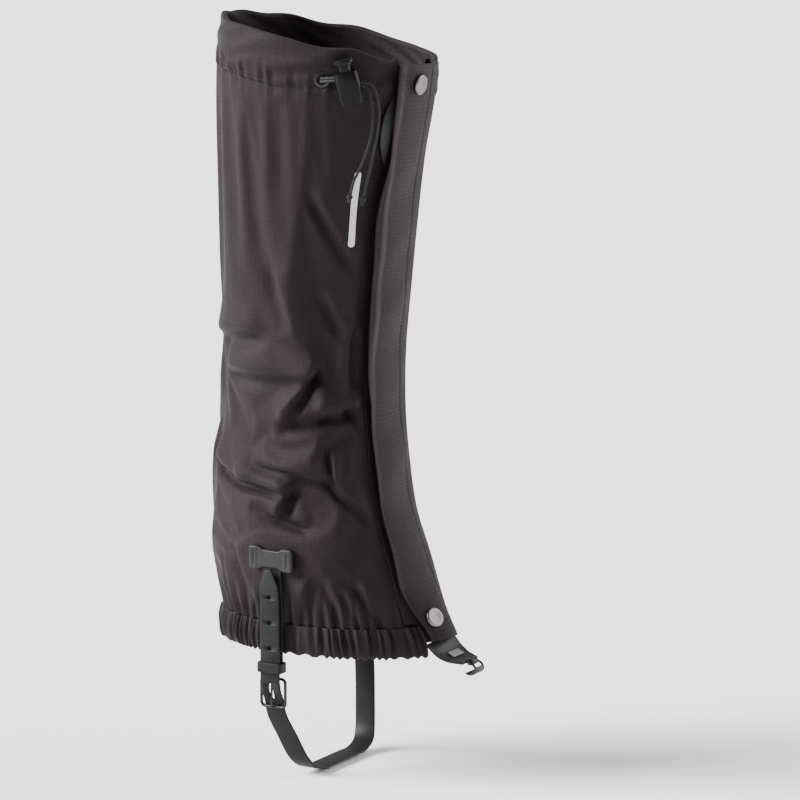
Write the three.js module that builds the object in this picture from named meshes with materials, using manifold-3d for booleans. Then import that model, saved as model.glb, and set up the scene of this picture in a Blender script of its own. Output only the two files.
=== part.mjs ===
// Knee-high front-opening hiking gaiter for the right leg.
// Millimetres, +Z up, front (toes) = -Y, wearer's right = -X.
// The origin is the centre of the bottom opening.
import * as THREE from "three";
import { mergeVertices } from "three/addons/utils/BufferGeometryUtils.js";
import Module from "manifold-3d";

const wasm = await Module();
wasm.setup();

// ---- driving dimensions -------------------------------------------------
const HEIGHT = 420; // bottom hem to the middle of the top rim
const RIM_N = 420; // level of the rim in the section tables below
const WIDTH_SCALE = 1; // scales every half-width of the tube
const DEPTH_SCALE = 1; // scales every front and back depth of the tube
const RIM_RISE_X = -0.128; // slope of the rim plane across the leg
const RIM_RISE_Y = 0.154; // slope of the rim plane, front to back
const RIM_LEVEL = 2.3;
const FABRIC = 0.9; // wall of the shell panels
const GAP = 0.35; // clearance between neighbouring pieces
const FRONT_POWER = 2.3; // how square the front half of the section is
const PLACKET_MEDIAL_X = 12;
const PLACKET_LATERAL_X = -26;
const FLAP_HINGE_X = 18.5;
const FLAP_EDGE_TOP_X = -30;
const FLAP_EDGE_LOW_X = -25;
const FLAP_OFFSET = 2.7; // shell surface to the inside of the flap
const FLAP_THICK = 1.2;
const FLAP_EDGE_CUT = 10; // how far the free edge is cut back at its lower end
const FLAP_EDGE_LIFT = 4.2; // how far the free edge stands off further
const FLAP_BOTTOM = 10;
const FLAP_TOP_MARGIN = 3;
const FLAP_SPLITS = [118, 206]; // where the peeling halves start
const TAPE_THICK = 0.8;
const TAPE_LOW = 42;
const TAPE_HIGH = 380;
const TAPE_EDGE_X = -21;
const TAPE_HINGE_X = 5;
const SNAP_X = -8;
const SNAP_TOP_Z = 395;
const SNAP_LOW_Z = 24;
const SNAP_CAP_R = 7;
const SNAP_STEM_R = 1.3;
const CAP_HEIGHT = 2.1;
const CAP_STEM = 2; // part of the cap that passes through the flap
const SOCKET_R = 5.3;
const SOCKET_BORE_R = 2.6;
const SOCKET_LOW = 0.9;
const STUD_R = 4;
const STUD_HEAD_R = 2.1;
const STUD_NECK_R = 1.7;
const STUD_PLATE = 0.25;
const POST_R = 4.2; // the ring inside the placket that the stud is riveted through
const POST_LOW = -FABRIC - 1.4;
const POST_HIGH = -FABRIC - 0.7;
const TUNNEL_HEIGHT = 32;
const TUNNEL_DEPTH = 5.6;
const TUNNEL_WALL = 0.8;
const HEM_HEIGHT = 20;
const HEM_DEPTH = 4.2;
const HEM_WALL = 0.8;
const HEM_OUT = 0.8; // how far the casing stands out of the shell
const ELASTIC_MARGIN = 4;
const CORD_D = 1.9;
const LOCK_HEIGHT = 22;
const LOCK_WIDTH = 17;
const LOCK_DEPTH = 12;
const LOCK_BORE_R = 4.5;
const LOCK_TRAVEL = 4;
const PLUNGER_CAP_R = 7;
const KNOB_HEIGHT = 3.3;
const LOCK_X = -55.5;
const LOCK_N = 395; // level of the lock
const EYELET_FROM_LOCK = 17 / 70; // angle round the tube, in radians
const EYELET_BORE_R = 2.9;
const EYELET_R = 5.6;
const STRAP_WIDTH = 15;
const STRAP_THICK = 1.8;
const PLATE_LENGTH = 35;
const PLATE_HEIGHT = 16;
const PLATE_WAIST = 12;
const PLATE_THICK = 1.8;
const PLATE_Z = 66;
const PLATE_Y = 9;
const BUCKLE_Z = -18; // top bar of the buckle frame
const BUCKLE_HEIGHT = 20;
const BUCKLE_WIDTH = 21;
const BUCKLE_WIRE = 2.2;
const SOLE_Z = -84;
const TAB_WIDTH = 38;
const TAB_THICK = 1.8;
const LABEL_WIDTH = 14;
const LABEL_LENGTH = 5.6;
const LABEL_THICK = 0.6;
const HOOK_BAR_R = 1.0;
const HOOK_HALF = 5.2; // middle of the hook's tab to the middle of each arm
const EYE_HALF = 3.8;
const ARM_WIDTH = 1.8; // each arm of the hook

// ---- section of the tube -------------------------------------------------
const BACK = [[0, 76], [22, 74.4], [42, 80.6], [62, 83], [100, 82], [130, 81.7], [153, 75], [180, 75.6],
  [200, 73.4], [236, 75], [306, 77], [342, 78.5], [377, 76], [434, 68]];
const FRONT = [[0, 84], [10, 83], [24, 79.5], [42, 75], [60, 70], [95, 58.4], [130, 53], [165, 50], [207, 50.2],
  [250, 54], [306, 59.6], [350, 65], [377, 70], [395, 73], [430, 77]];
const SIDE = [[0, 54.5], [80, 58], [150, 57], [200, 59], [236, 62], [306, 68], [340, 70], [377, 69.5], [430, 68]];
const NOSE = [[0, 17], [10, 14], [24, 8.2], [42, 4.2], [60, 2], [95, 0], [430, 0]]; // the instep ridge in front
const NOSE_HALF = 22;

function curve(table, at) {
  const last = table.length - 1;
  if (at <= table[0][0]) return table[0][1];
  if (at >= table[last][0]) return table[last][1];
  let i = 0;
  while (table[i + 1][0] < at) i += 1;
  const slope = (a, b) => (table[b][1] - table[a][1]) / (table[b][0] - table[a][0]);
  const m0 = i > 0 ? slope(i - 1, i + 1) : slope(i, i + 1);
  const m1 = i + 1 < last ? slope(i, i + 2) : slope(i, i + 1);
  const h = table[i + 1][0] - table[i][0];
  const t = (at - table[i][0]) / h;
  return (2 * t ** 3 - 3 * t * t + 1) * table[i][1] + (t ** 3 - 2 * t * t + t) * h * m0 +
    (3 * t * t - 2 * t ** 3) * table[i + 1][1] + (t ** 3 - t * t) * h * m1;
}

const half = (n) => WIDTH_SCALE * curve(SIDE, n);
const front = (n) => DEPTH_SCALE * curve(FRONT, n);
const back = (n) => DEPTH_SCALE * curve(BACK, n);

// Point of the section at angle t (0 = front, 90 degrees = lateral side) and height n.
function section(t, n) {
  const b = half(n);
  const c = Math.cos(t);
  const s = Math.sin(t);
  const x = -b * s;
  if (c < 0) return [x, -back(n) * c];
  const flat = Math.pow(Math.max(0, 1 - Math.pow(Math.abs(s), FRONT_POWER)), 1 / FRONT_POWER);
  const nose = DEPTH_SCALE * curve(NOSE, n) * Math.exp(-((x / NOSE_HALF) ** 2));
  return [x, -front(n) * flat - nose];
}

// Height that a point gets from its level n: the rim is a tilted plane, the hem is level.
function level(x, y, n) {
  const z = (n * HEIGHT) / RIM_N;
  return z + (n / RIM_N) ** 2 * (RIM_LEVEL + RIM_RISE_X * x + RIM_RISE_Y * y);
}

function shell(t, n, offset) {
  const e = 1e-3;
  const [x, y] = section(t, n);
  const [x1, y1] = section(t + e, n);
  const [x0, y0] = section(t - e, n);
  const dx = x1 - x0;
  const dy = y1 - y0;
  const l = Math.hypot(dx, dy);
  const [ux, uy] = section(t, n + 0.5);
  const [lx, ly] = section(t, n - 0.5);
  const nx = -dy / l;
  const ny = dx / l;
  const side = nx * x + ny * y > 0 ? 1 : -1;
  const rise = side * (nx * (ux - lx) + ny * (uy - ly));
  const tilt = Math.hypot(1, rise);
  const px = x + (side * nx * offset) / tilt;
  const py = y + (side * ny * offset) / tilt;
  return new THREE.Vector3(px, py, level(x, y, n) - (rise * offset) / tilt);
}

const angleAt = (x, n) => Math.asin(-x / half(n));

// ---- solids --------------------------------------------------------------
function geometryOf(points, triangles) {
  const flat = new Float32Array(points.length * 3);
  points.forEach((p, i) => flat.set([p.x, p.y, p.z], i * 3));
  const g = new THREE.BufferGeometry();
  g.setAttribute("position", new THREE.BufferAttribute(flat, 3));
  g.setIndex(triangles);
  return g;
}

// A closed slab between two sheets of points at(i, j, 0) and at(i, j, 1).
function slab(nu, nv, at) {
  const points = [];
  const id = (i, j, k) => (k * (nv + 1) + j) * (nu + 1) + i;
  for (let k = 0; k < 2; k += 1)
    for (let j = 0; j <= nv; j += 1)
      for (let i = 0; i <= nu; i += 1) points[id(i, j, k)] = at(i, j, k);
  const tri = [];
  const quad = (a, b, c, d) => tri.push(a, b, c, a, c, d);
  for (let j = 0; j < nv; j += 1)
    for (let i = 0; i < nu; i += 1) {
      quad(id(i, j, 1), id(i + 1, j, 1), id(i + 1, j + 1, 1), id(i, j + 1, 1));
      quad(id(i, j, 0), id(i, j + 1, 0), id(i + 1, j + 1, 0), id(i + 1, j, 0));
    }
  for (let i = 0; i < nu; i += 1) {
    quad(id(i, 0, 0), id(i + 1, 0, 0), id(i + 1, 0, 1), id(i, 0, 1));
    quad(id(i, nv, 1), id(i + 1, nv, 1), id(i + 1, nv, 0), id(i, nv, 0));
  }
  for (let j = 0; j < nv; j += 1) {
    quad(id(0, j, 1), id(0, j + 1, 1), id(0, j + 1, 0), id(0, j, 0));
    quad(id(nu, j, 0), id(nu, j + 1, 0), id(nu, j + 1, 1), id(nu, j, 1));
  }
  return geometryOf(points, tri);
}

// A bar whose section is the loop of points ring(i), swept over steps i = 0..n and capped.
function sweep(n, ring) {
  const rings = [];
  for (let i = 0; i <= n; i += 1) rings.push(ring(i));
  const m = rings[0].length;
  const points = rings.flat();
  const tri = [];
  for (let i = 0; i < n; i += 1)
    for (let j = 0; j < m; j += 1) {
      const a = i * m + j;
      const b = i * m + ((j + 1) % m);
      tri.push(a, b, b + m, a, b + m, a + m);
    }
  for (let j = 1; j + 1 < m; j += 1) {
    tri.push(0, j + 1, j);
    tri.push(n * m, n * m + j, n * m + j + 1);
  }
  return geometryOf(points, tri);
}

// A pipe: outer and inner loops of equal length, swept and closed at both ends, open inside.
function pipe(n, outer, inner) {
  const points = [];
  const m = outer(0).length;
  for (let i = 0; i <= n; i += 1) points.push(...outer(i), ...inner(i));
  const tri = [];
  const id = (i, j, k) => (i * 2 + k) * m + (j % m);
  const quad = (a, b, c, d) => tri.push(a, b, c, a, c, d);
  for (let i = 0; i < n; i += 1)
    for (let j = 0; j < m; j += 1) {
      quad(id(i, j, 0), id(i, j + 1, 0), id(i + 1, j + 1, 0), id(i + 1, j, 0));
      quad(id(i, j, 1), id(i + 1, j, 1), id(i + 1, j + 1, 1), id(i, j + 1, 1));
    }
  for (let j = 0; j < m; j += 1) {
    quad(id(0, j, 0), id(0, j, 1), id(0, j + 1, 1), id(0, j + 1, 0));
    quad(id(n, j, 0), id(n, j + 1, 0), id(n, j + 1, 1), id(n, j, 1));
  }
  return geometryOf(points, tri);
}

function solidOf(geometry) {
  const g = geometry.clone();
  g.deleteAttribute("normal");
  g.deleteAttribute("uv");
  const merged = mergeVertices(g, 1e-3);
  let made = new wasm.Manifold(new wasm.Mesh({
    numProp: 3,
    vertProperties: merged.attributes.position.array,
    triVerts: new Uint32Array(merged.index.array),
  }));
  if (made.volume() < 0) {
    const turned = new Uint32Array(merged.index.array);
    for (let i = 0; i < turned.length; i += 3) [turned[i], turned[i + 1]] = [turned[i + 1], turned[i]];
    made = new wasm.Manifold(new wasm.Mesh({
      numProp: 3,
      vertProperties: merged.attributes.position.array,
      triVerts: turned,
    }));
  }
  return made;
}

function geometryFrom(solid) {
  const m = solid.getMesh();
  const flat = new Float32Array(m.numVert * 3);
  for (let i = 0; i < m.numVert; i += 1)
    flat.set(m.vertProperties.subarray(i * m.numProp, i * m.numProp + 3), i * 3);
  const g = new THREE.BufferGeometry();
  g.setAttribute("position", new THREE.BufferAttribute(flat, 3));
  g.setIndex(new THREE.BufferAttribute(m.triVerts, 1));
  return g;
}

const root = new THREE.Group();
const LOOKS = {
  fabric: [0x2c282b, 0.8, 0],
  tape: [0x1b1a1c, 0.95, 0],
  rubber: [0x222124, 0.6, 0],
  plastic: [0x0c0c0e, 0.25, 0],
  metal: [0xa8a9ab, 0.3, 1],
  cord: [0x161618, 0.7, 0],
  white: [0xd8d8d6, 0.6, 0],
};

function add(name, geometry, look, cut) {
  let solid = solidOf(geometry);
  if (cut) cut.forEach((c) => { solid = solid.subtract(c); });
  const g = geometryFrom(solid);
  g.computeVertexNormals();
  const [color, roughness, metalness] = LOOKS[look];
  const mesh = new THREE.Mesh(g, new THREE.MeshStandardMaterial({ color, roughness, metalness }));
  mesh.name = name;
  root.add(mesh);
  return solid;
}

// Places a geometry: its X, Y and Z go to the three directions, its origin to the point.
function place(geometry, point, ux, uy, uz) {
  const m = new THREE.Matrix4().makeBasis(ux, uy, uz).setPosition(point);
  return geometry.clone().applyMatrix4(m);
}

function cylinder(r, h, sides) {
  return new THREE.CylinderGeometry(r, r, h, sides).rotateX(Math.PI / 2);
}

// ---- rows and columns shared by every layer of the shell -------------------
// Rows lie at the same levels in every layer, so that stacked layers stay parallel.
const ROW = 16;
const LOW_ROWS = 48; // below this level the shell flares, so its rows are twice as close
function rows(from, to) {
  const inside = [];
  for (let n = ROW / 2; n < to - 3; n += n < LOW_ROWS ? ROW / 2 : ROW) if (n > from + 3) inside.push(n);
  return [from, ...inside, to];
}

function sheetBetween(columns, levels, inner, outer) {
  return slab(columns.length - 1, levels.length - 1, (i, j, k) => {
    const n = levels[j];
    const t = columns[i](n);
    return shell(t, n, k ? outer : inner);
  });
}

function columnsFromX(xs) {
  return xs.map((x) => (n) => angleAt(x, n));
}

// Angles from the one at x (front) round to the back seam, on the lateral (1) or medial (-1) side.
function columnsRound(x, side, steps) {
  return Array.from({ length: steps + 1 }, (_, i) => (n) => {
    const start = angleAt(x, n);
    const end = side * (Math.PI - GAP / 2 / half(n));
    return start + ((end - start) * i) / steps;
  });
}

const PANEL_BOTTOM = HEM_HEIGHT + 0.8;
const TUNNEL_BOTTOM = RIM_N - TUNNEL_HEIGHT;
const panelRows = rows(PANEL_BOTTOM, TUNNEL_BOTTOM - 0.6);
const lateralFrom = PLACKET_LATERAL_X - GAP - 0.2;
const medialFrom = PLACKET_MEDIAL_X + GAP + 0.2;

// ---- shell panels -----------------------------------------------------------
const lateralColumns = columnsRound(lateralFrom, 1, 16);
const medialColumns = columnsRound(medialFrom, -1, 18);
add("lateral_panel", sheetBetween(lateralColumns, panelRows, -FABRIC, 0), "fabric");
add("medial_panel", sheetBetween(medialColumns, panelRows, -FABRIC, 0), "fabric");
const seamColumns = [-4, -1.5, 1.5, 4].map((w) => (n) => Math.PI - w / half(n));
add("back_seam_tape", sheetBetween(seamColumns, panelRows, -FABRIC - GAP - 0.6, -FABRIC - GAP), "fabric");

// ---- placket, hook tape and the fold that the flap turns on ------------------
const snapFrame = (n) => {
  const t = angleAt(SNAP_X, n);
  const p = shell(t, n, 0);
  const out = shell(t, n, 1).sub(p).normalize();
  const up = shell(t, n + 1, 0).sub(shell(t, n - 1, 0));
  up.addScaledVector(out, -up.dot(out)).normalize();
  return { p, out, up, across: up.clone().cross(out) };
};
const levelOfZ = (z) => {
  let n = z;
  for (let k = 0; k < 8; k += 1) n += z - shell(angleAt(SNAP_X, n), n, 0).z;
  return n;
};
const SNAPS = { top: snapFrame(levelOfZ((SNAP_TOP_Z * HEIGHT) / RIM_N)), bottom: snapFrame(levelOfZ(SNAP_LOW_Z)) };

function drill(frame, radius, from, to) {
  const mid = frame.p.clone().addScaledVector(frame.out, (from + to) / 2);
  return solidOf(place(cylinder(radius, to - from, 16), mid, frame.across, frame.up, frame.out));
}
const snapHoles = Object.values(SNAPS).map((f) => drill(f, SNAP_STEM_R + GAP, -4, 12));

const xsBetween = (a, b, n) => Array.from({ length: n + 1 }, (_, i) => a + ((b - a) * i) / n);
const placketRows = rows(FLAP_BOTTOM, RIM_N - 4);
add("front_placket", sheetBetween(columnsFromX(xsBetween(PLACKET_MEDIAL_X, PLACKET_LATERAL_X, 6)), placketRows,
  -FABRIC, 0), "fabric", snapHoles);
const tapeRows = rows(TAPE_LOW, TAPE_HIGH);
add("hook_tape", sheetBetween(columnsFromX(xsBetween(TAPE_HINGE_X, TAPE_EDGE_X, 4)), tapeRows,
  GAP, GAP + TAPE_THICK), "tape");
add("flap_fold", sheetBetween(columnsFromX(xsBetween(FLAP_HINGE_X, medialFrom, 2)), rows(PANEL_BOTTOM, TAPE_HIGH + 4),
  GAP, FLAP_OFFSET - GAP), "fabric");

// ---- flap ---------------------------------------------------------------------
const smooth = (a, b, v) => {
  const t = Math.min(1, Math.max(0, (v - a) / (b - a)));
  return t * t * (3 - 2 * t);
};
const flapEdge = (n) => FLAP_EDGE_LOW_X + (FLAP_EDGE_TOP_X - FLAP_EDGE_LOW_X) * smooth(40, 260, n) +
  FLAP_EDGE_CUT * (1 - smooth(8, 54, n));
const FLAP_COLUMNS = 7;
const flapX = (i, n) => FLAP_HINGE_X + ((flapEdge(n) - FLAP_HINGE_X) * i) / FLAP_COLUMNS;
const flapLift = (x) => FLAP_EDGE_LIFT * smooth(TAPE_EDGE_X + 1, FLAP_EDGE_TOP_X, x);
function flapSheet(from, to, inner, outer) {
  const levels = rows(from, to);
  return slab(FLAP_COLUMNS, levels.length - 1, (i, j, k) => {
    const x = flapX(i, levels[j]);
    return shell(angleAt(x, levels[j]), levels[j], (k ? outer : inner) + flapLift(x));
  });
}
const flapBands = [
  ["front_flap_lower", FLAP_BOTTOM, FLAP_SPLITS[0]],
  ["front_flap_middle", FLAP_SPLITS[0] + 0.6, FLAP_SPLITS[1]],
  ["front_flap_upper", FLAP_SPLITS[1] + 0.6, RIM_N - FLAP_TOP_MARGIN],
];
flapBands.forEach(([name, from, to]) =>
  add(name, flapSheet(from, to, FLAP_OFFSET, FLAP_OFFSET + FLAP_THICK), "fabric", snapHoles));
const loopBands = [
  ["loop_tape_lower", TAPE_LOW, FLAP_SPLITS[0] - 0.4],
  ["loop_tape_middle", FLAP_SPLITS[0] + 1, FLAP_SPLITS[1] - 0.4],
  ["loop_tape_upper", FLAP_SPLITS[1] + 1, TAPE_HIGH],
];
const loopInner = GAP + TAPE_THICK + 0.3;
loopBands.forEach(([name, from, to]) =>
  add(name, sheetBetween(columnsFromX(xsBetween(TAPE_HINGE_X, TAPE_EDGE_X, 4)), rows(from, to),
    loopInner, FLAP_OFFSET - 0.3), "tape"));

// ---- snap fasteners ---------------------------------------------------------------
function lathed(profile, sides) {
  const g = new THREE.LatheGeometry(profile.map(([r, h]) => new THREE.Vector2(r, h)), sides);
  return g.rotateX(Math.PI / 2);
}
const flapOut = FLAP_OFFSET + FLAP_THICK;
const capLow = flapOut + GAP + 0.4;
const capProfile = [[0, -CAP_STEM], [SNAP_STEM_R, -CAP_STEM], [SNAP_STEM_R, 0], [SNAP_CAP_R - 0.6, 0],
  [SNAP_CAP_R, 0.5], [SNAP_CAP_R - 0.4, 1.3], [SNAP_CAP_R - 2.4, CAP_HEIGHT - 0.2], [0, CAP_HEIGHT]];
const socketHigh = FLAP_OFFSET - 0.75;
const socketProfile = [[SOCKET_BORE_R, SOCKET_LOW], [SOCKET_R - 0.3, SOCKET_LOW], [SOCKET_R, SOCKET_LOW + 0.4],
  [SOCKET_R - 0.3, socketHigh], [SOCKET_BORE_R, socketHigh], [SOCKET_BORE_R, SOCKET_LOW]];
const studLow = GAP + 0.1;
const studProfile = [[0, -FABRIC - 0.6], [SNAP_STEM_R, -FABRIC - 0.6], [SNAP_STEM_R, studLow], [STUD_R, studLow],
  [STUD_R, studLow + STUD_PLATE], [STUD_NECK_R, studLow + STUD_PLATE], [STUD_HEAD_R, studLow + 0.75],
  [STUD_NECK_R, studLow + 1], [0, studLow + 1.05]];
const postProfile = [[SNAP_STEM_R + GAP, POST_LOW], [POST_R, POST_LOW], [POST_R, POST_HIGH],
  [SNAP_STEM_R + GAP, POST_HIGH], [SNAP_STEM_R + GAP, POST_LOW]];
Object.entries(SNAPS).forEach(([where, f]) => {
  const spun = (profile) => place(lathed(profile, 20), f.p, f.across, f.up, f.out);
  add("snap_cap_" + where, spun(capProfile.map(([r, h]) => [r, h + capLow])), "metal");
  add("snap_socket_" + where, spun(socketProfile), "metal");
  add("snap_stud_" + where, spun(studProfile), "metal");
  add("snap_post_" + where, spun(postProfile), "metal");
});

// ---- drawcord tunnel and elastic hem -------------------------------------------------
// Columns of a band that runs from the flap's free side round the back to the medial side.
function bandColumns(xLateral, xMedial, steps) {
  return Array.from({ length: steps + 1 }, (_, i) => (n) => {
    const start = angleAt(xLateral, n);
    const end = 2 * Math.PI + angleAt(xMedial, n);
    return start + ((end - start) * i) / steps;
  });
}
function bandLoop(t, low, high, inner, outer) {
  return [[low, outer], [low, inner], [high, inner], [high, outer]].map(([n, off]) => shell(t(n), n, off));
}
const BAND_STEPS = 34;
const tunnelColumns = bandColumns(lateralFrom, medialFrom, BAND_STEPS);
const tunnelOuter = 1.0;
const tunnelInner = tunnelOuter - TUNNEL_DEPTH;
const tunnelMiddle = (tunnelOuter + tunnelInner) / 2;

// Frame on the tube at an angle and a level: out of it, along the band and up along the shell.
function tubeFrame(t, n, offset) {
  const p = shell(t, n, offset);
  const out = shell(t, n, offset + 1).sub(p).normalize();
  const along = shell(t + 0.02, n, offset).sub(shell(t - 0.02, n, offset));
  along.addScaledVector(out, -along.dot(out)).normalize();
  return { p, out, along, up: out.clone().cross(along).negate() };
}
const lockAngle = angleAt(LOCK_X, LOCK_N);
const eyeletAngle = lockAngle + EYELET_FROM_LOCK;
const eyelet = tubeFrame(eyeletAngle, LOCK_N + 3, tunnelOuter);
const eyeletDrill = solidOf(place(cylinder(EYELET_BORE_R + 0.9, 6, 16), eyelet.p, eyelet.along, eyelet.up,
  eyelet.out));
add("drawcord_tunnel", pipe(BAND_STEPS,
  (i) => bandLoop(tunnelColumns[i], TUNNEL_BOTTOM, RIM_N, tunnelInner, tunnelOuter),
  (i) => bandLoop(tunnelColumns[i], TUNNEL_BOTTOM + TUNNEL_WALL, RIM_N - TUNNEL_WALL, tunnelInner + TUNNEL_WALL,
    tunnelOuter - TUNNEL_WALL)), "fabric", [eyeletDrill]);
add("tunnel_eyelet", place(lathed([[EYELET_BORE_R, -1.2], [EYELET_BORE_R + 0.5, -1.2],
  [EYELET_BORE_R + 0.5, 0.4], [EYELET_R, 0.4], [EYELET_R - 0.2, 1], [EYELET_BORE_R + 0.9, 1.3],
  [EYELET_BORE_R, 0.8], [EYELET_BORE_R, -1.2]], 20), eyelet.p, eyelet.along, eyelet.up, eyelet.out), "metal");

const HEM_MEDIAL_X = 20;
const hemColumns = bandColumns(lateralFrom, HEM_MEDIAL_X, BAND_STEPS);
add("hem_casing", pipe(BAND_STEPS,
  (i) => bandLoop(hemColumns[i], 0, HEM_HEIGHT, HEM_OUT - HEM_DEPTH, HEM_OUT),
  (i) => bandLoop(hemColumns[i], HEM_WALL, HEM_HEIGHT - HEM_WALL, HEM_OUT - HEM_DEPTH + HEM_WALL,
    HEM_OUT - HEM_WALL)), "fabric");
add("hem_elastic", sweep(BAND_STEPS - 2, (i) => bandLoop(hemColumns[i + 1], ELASTIC_MARGIN,
  HEM_HEIGHT - ELASTIC_MARGIN, HEM_OUT - HEM_DEPTH + HEM_WALL + 0.5, HEM_OUT - HEM_WALL - 0.5)), "rubber");

// ---- cord lock ---------------------------------------------------------------------
const LOCK_LEAN = (12 * Math.PI) / 180;
const lockBase = tubeFrame(lockAngle, LOCK_N, tunnelOuter);
const lockUp = new THREE.Vector3(0, 0, 1);
const lockOut = lockBase.out.clone().setZ(0).normalize();
const lockSide = lockUp.clone().cross(lockOut); // horizontal, towards the front when positive
lockUp.applyAxisAngle(lockOut, lockSide.y < 0 ? LOCK_LEAN : -LOCK_LEAN);
lockSide.copy(lockUp).cross(lockOut);
const lockCentre = lockBase.p.clone().addScaledVector(lockOut, LOCK_DEPTH / 2 + 1.9).addScaledVector(
  lockUp, 2);
const inLock = (side, out, up) => lockCentre.clone().addScaledVector(lockSide, side).addScaledVector(lockOut, out)
  .addScaledVector(lockUp, up);
const onLock = (g) => place(g, lockCentre, lockSide, lockUp.clone().cross(lockSide), lockUp);
const CORD_UP = 4;
const CORD_SPREAD = 1.1; // the two strands lie one above the other

function ovalPrism(width, depth, low, high, power, bulge) {
  const steps = 8;
  return sweep(steps, (i) => {
    const h = low + ((high - low) * i) / steps;
    const swell = 1 - bulge * Math.pow(Math.abs((2 * i) / steps - 1), 3);
    return Array.from({ length: 28 }, (_, k) => {
      const a = (2 * Math.PI * k) / 28;
      const c = Math.cos(a);
      const s = Math.sin(a);
      return new THREE.Vector3((Math.sign(c) * Math.pow(Math.abs(c), 2 / power) * width * swell) / 2,
        (Math.sign(s) * Math.pow(Math.abs(s), 2 / power) * depth * swell) / 2, h);
    });
  });
}
const lockHigh = LOCK_HEIGHT / 2;
const boreCut = solidOf(onLock(cylinder(LOCK_BORE_R, LOCK_HEIGHT, 24).translate(0, 0, 3)));
const cordSlot = solidOf(onLock(new THREE.BoxGeometry(LOCK_WIDTH + 8, 2.8, 5).translate(0, 0, CORD_UP)));
add("cord_lock_barrel", onLock(ovalPrism(LOCK_WIDTH, LOCK_DEPTH, -lockHigh, lockHigh, 2.6, 0.1)), "plastic",
  [boreCut, cordSlot]);
const stemLow = -2;
const knobLow = lockHigh + LOCK_TRAVEL + 2;
const stemR = LOCK_BORE_R - 0.4;
const plungerSlot = solidOf(onLock(new THREE.BoxGeometry(LOCK_WIDTH, 3,
  CORD_D + 2 * CORD_SPREAD + 0.7 + LOCK_TRAVEL).translate(0, 0, CORD_UP + LOCK_TRAVEL / 2)));
const knobHigh = knobLow + KNOB_HEIGHT;
const collarR = stemR + 1;
add("cord_lock_plunger", onLock(lathed([[0, stemLow], [stemR, stemLow], [stemR, knobLow - 1.6],
  [collarR, knobLow - 1.2], [collarR, knobLow], [PLUNGER_CAP_R - 0.5, knobLow], [PLUNGER_CAP_R, knobLow + 0.8],
  [PLUNGER_CAP_R, knobHigh - 1.1], [PLUNGER_CAP_R - 1, knobHigh - 0.3], [0, knobHigh]], 24)), "plastic",
[plungerSlot]);

class Helix extends THREE.Curve {
  constructor(radius, low, high, turns) {
    super();
    Object.assign(this, { radius, low, high, turns });
  }
  getPoint(t, target = new THREE.Vector3()) {
    const a = 2 * Math.PI * this.turns * t;
    return target.set(this.radius * Math.cos(a), this.radius * Math.sin(a), this.low + (this.high - this.low) * t);
  }
}
function roundShape(r, sides) {
  const s = new THREE.Shape();
  for (let k = 0; k < sides; k += 1) {
    const a = (2 * Math.PI * (k + 0.5)) / sides;
    if (k) s.lineTo(r * Math.cos(a), r * Math.sin(a));
    else s.moveTo(r * Math.cos(a), r * Math.sin(a));
  }
  s.closePath();
  return s;
}
function tube(path, d, steps, sides) {
  return new THREE.ExtrudeGeometry(roundShape(d / 2, sides), { extrudePath: path, steps, bevelEnabled: false });
}
add("cord_lock_spring", onLock(tube(new Helix(2.8, -lockHigh + 3.7, stemLow - 0.7, 3), 0.6, 36, 5)), "metal");

// ---- drawcord ------------------------------------------------------------------------
const spline = (points) => new THREE.CatmullRomCurve3(points, false, "centripetal");
const insideTunnel = (t, n) => shell(t, n, tunnelMiddle);
function strand(spread, angles, nRun, tail) {
  // from the inside of the tunnel out through the eyelet, through the lock, and a little beyond it
  const run = angles.map((t) => insideTunnel(t, nRun));
  const eye = (h) => eyelet.p.clone().addScaledVector(eyelet.out, h).addScaledVector(eyelet.up, spread);
  return [...run, eye(-1.4), eye(0.4), eye(2.6), inLock(-LOCK_WIDTH / 2 - 2.4, 0, CORD_UP + spread),
    inLock(-LOCK_WIDTH / 4, 0, CORD_UP + spread), inLock(LOCK_WIDTH / 4, 0, CORD_UP + spread),
    inLock(LOCK_WIDTH / 2 + 1.6, 0, CORD_UP + spread), ...tail];
}
const lockExit = (spread) => inLock(LOCK_WIDTH / 2 + 1.6, 0, CORD_UP + spread);
const lateralEnd = angleAt(PLACKET_LATERAL_X - 4, LOCK_N);
const medialEnd = 2 * Math.PI + angleAt(medialFrom + 5, LOCK_N);
const longAngles = Array.from({ length: 24 }, (_, i) => medialEnd + ((eyeletAngle + 0.09 - medialEnd) * i) / 23);
const shortAngles = Array.from({ length: 6 }, (_, i) => lateralEnd + ((eyeletAngle - 0.09 - lateralEnd) * i) / 5);
add("drawcord_long", tube(spline(strand(CORD_SPREAD, longAngles, LOCK_N + 4, [])), CORD_D, 76, 8), "cord");
add("drawcord_short", tube(spline(strand(-CORD_SPREAD, shortAngles, LOCK_N - 1, [])), CORD_D, 30, 8), "cord");

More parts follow.
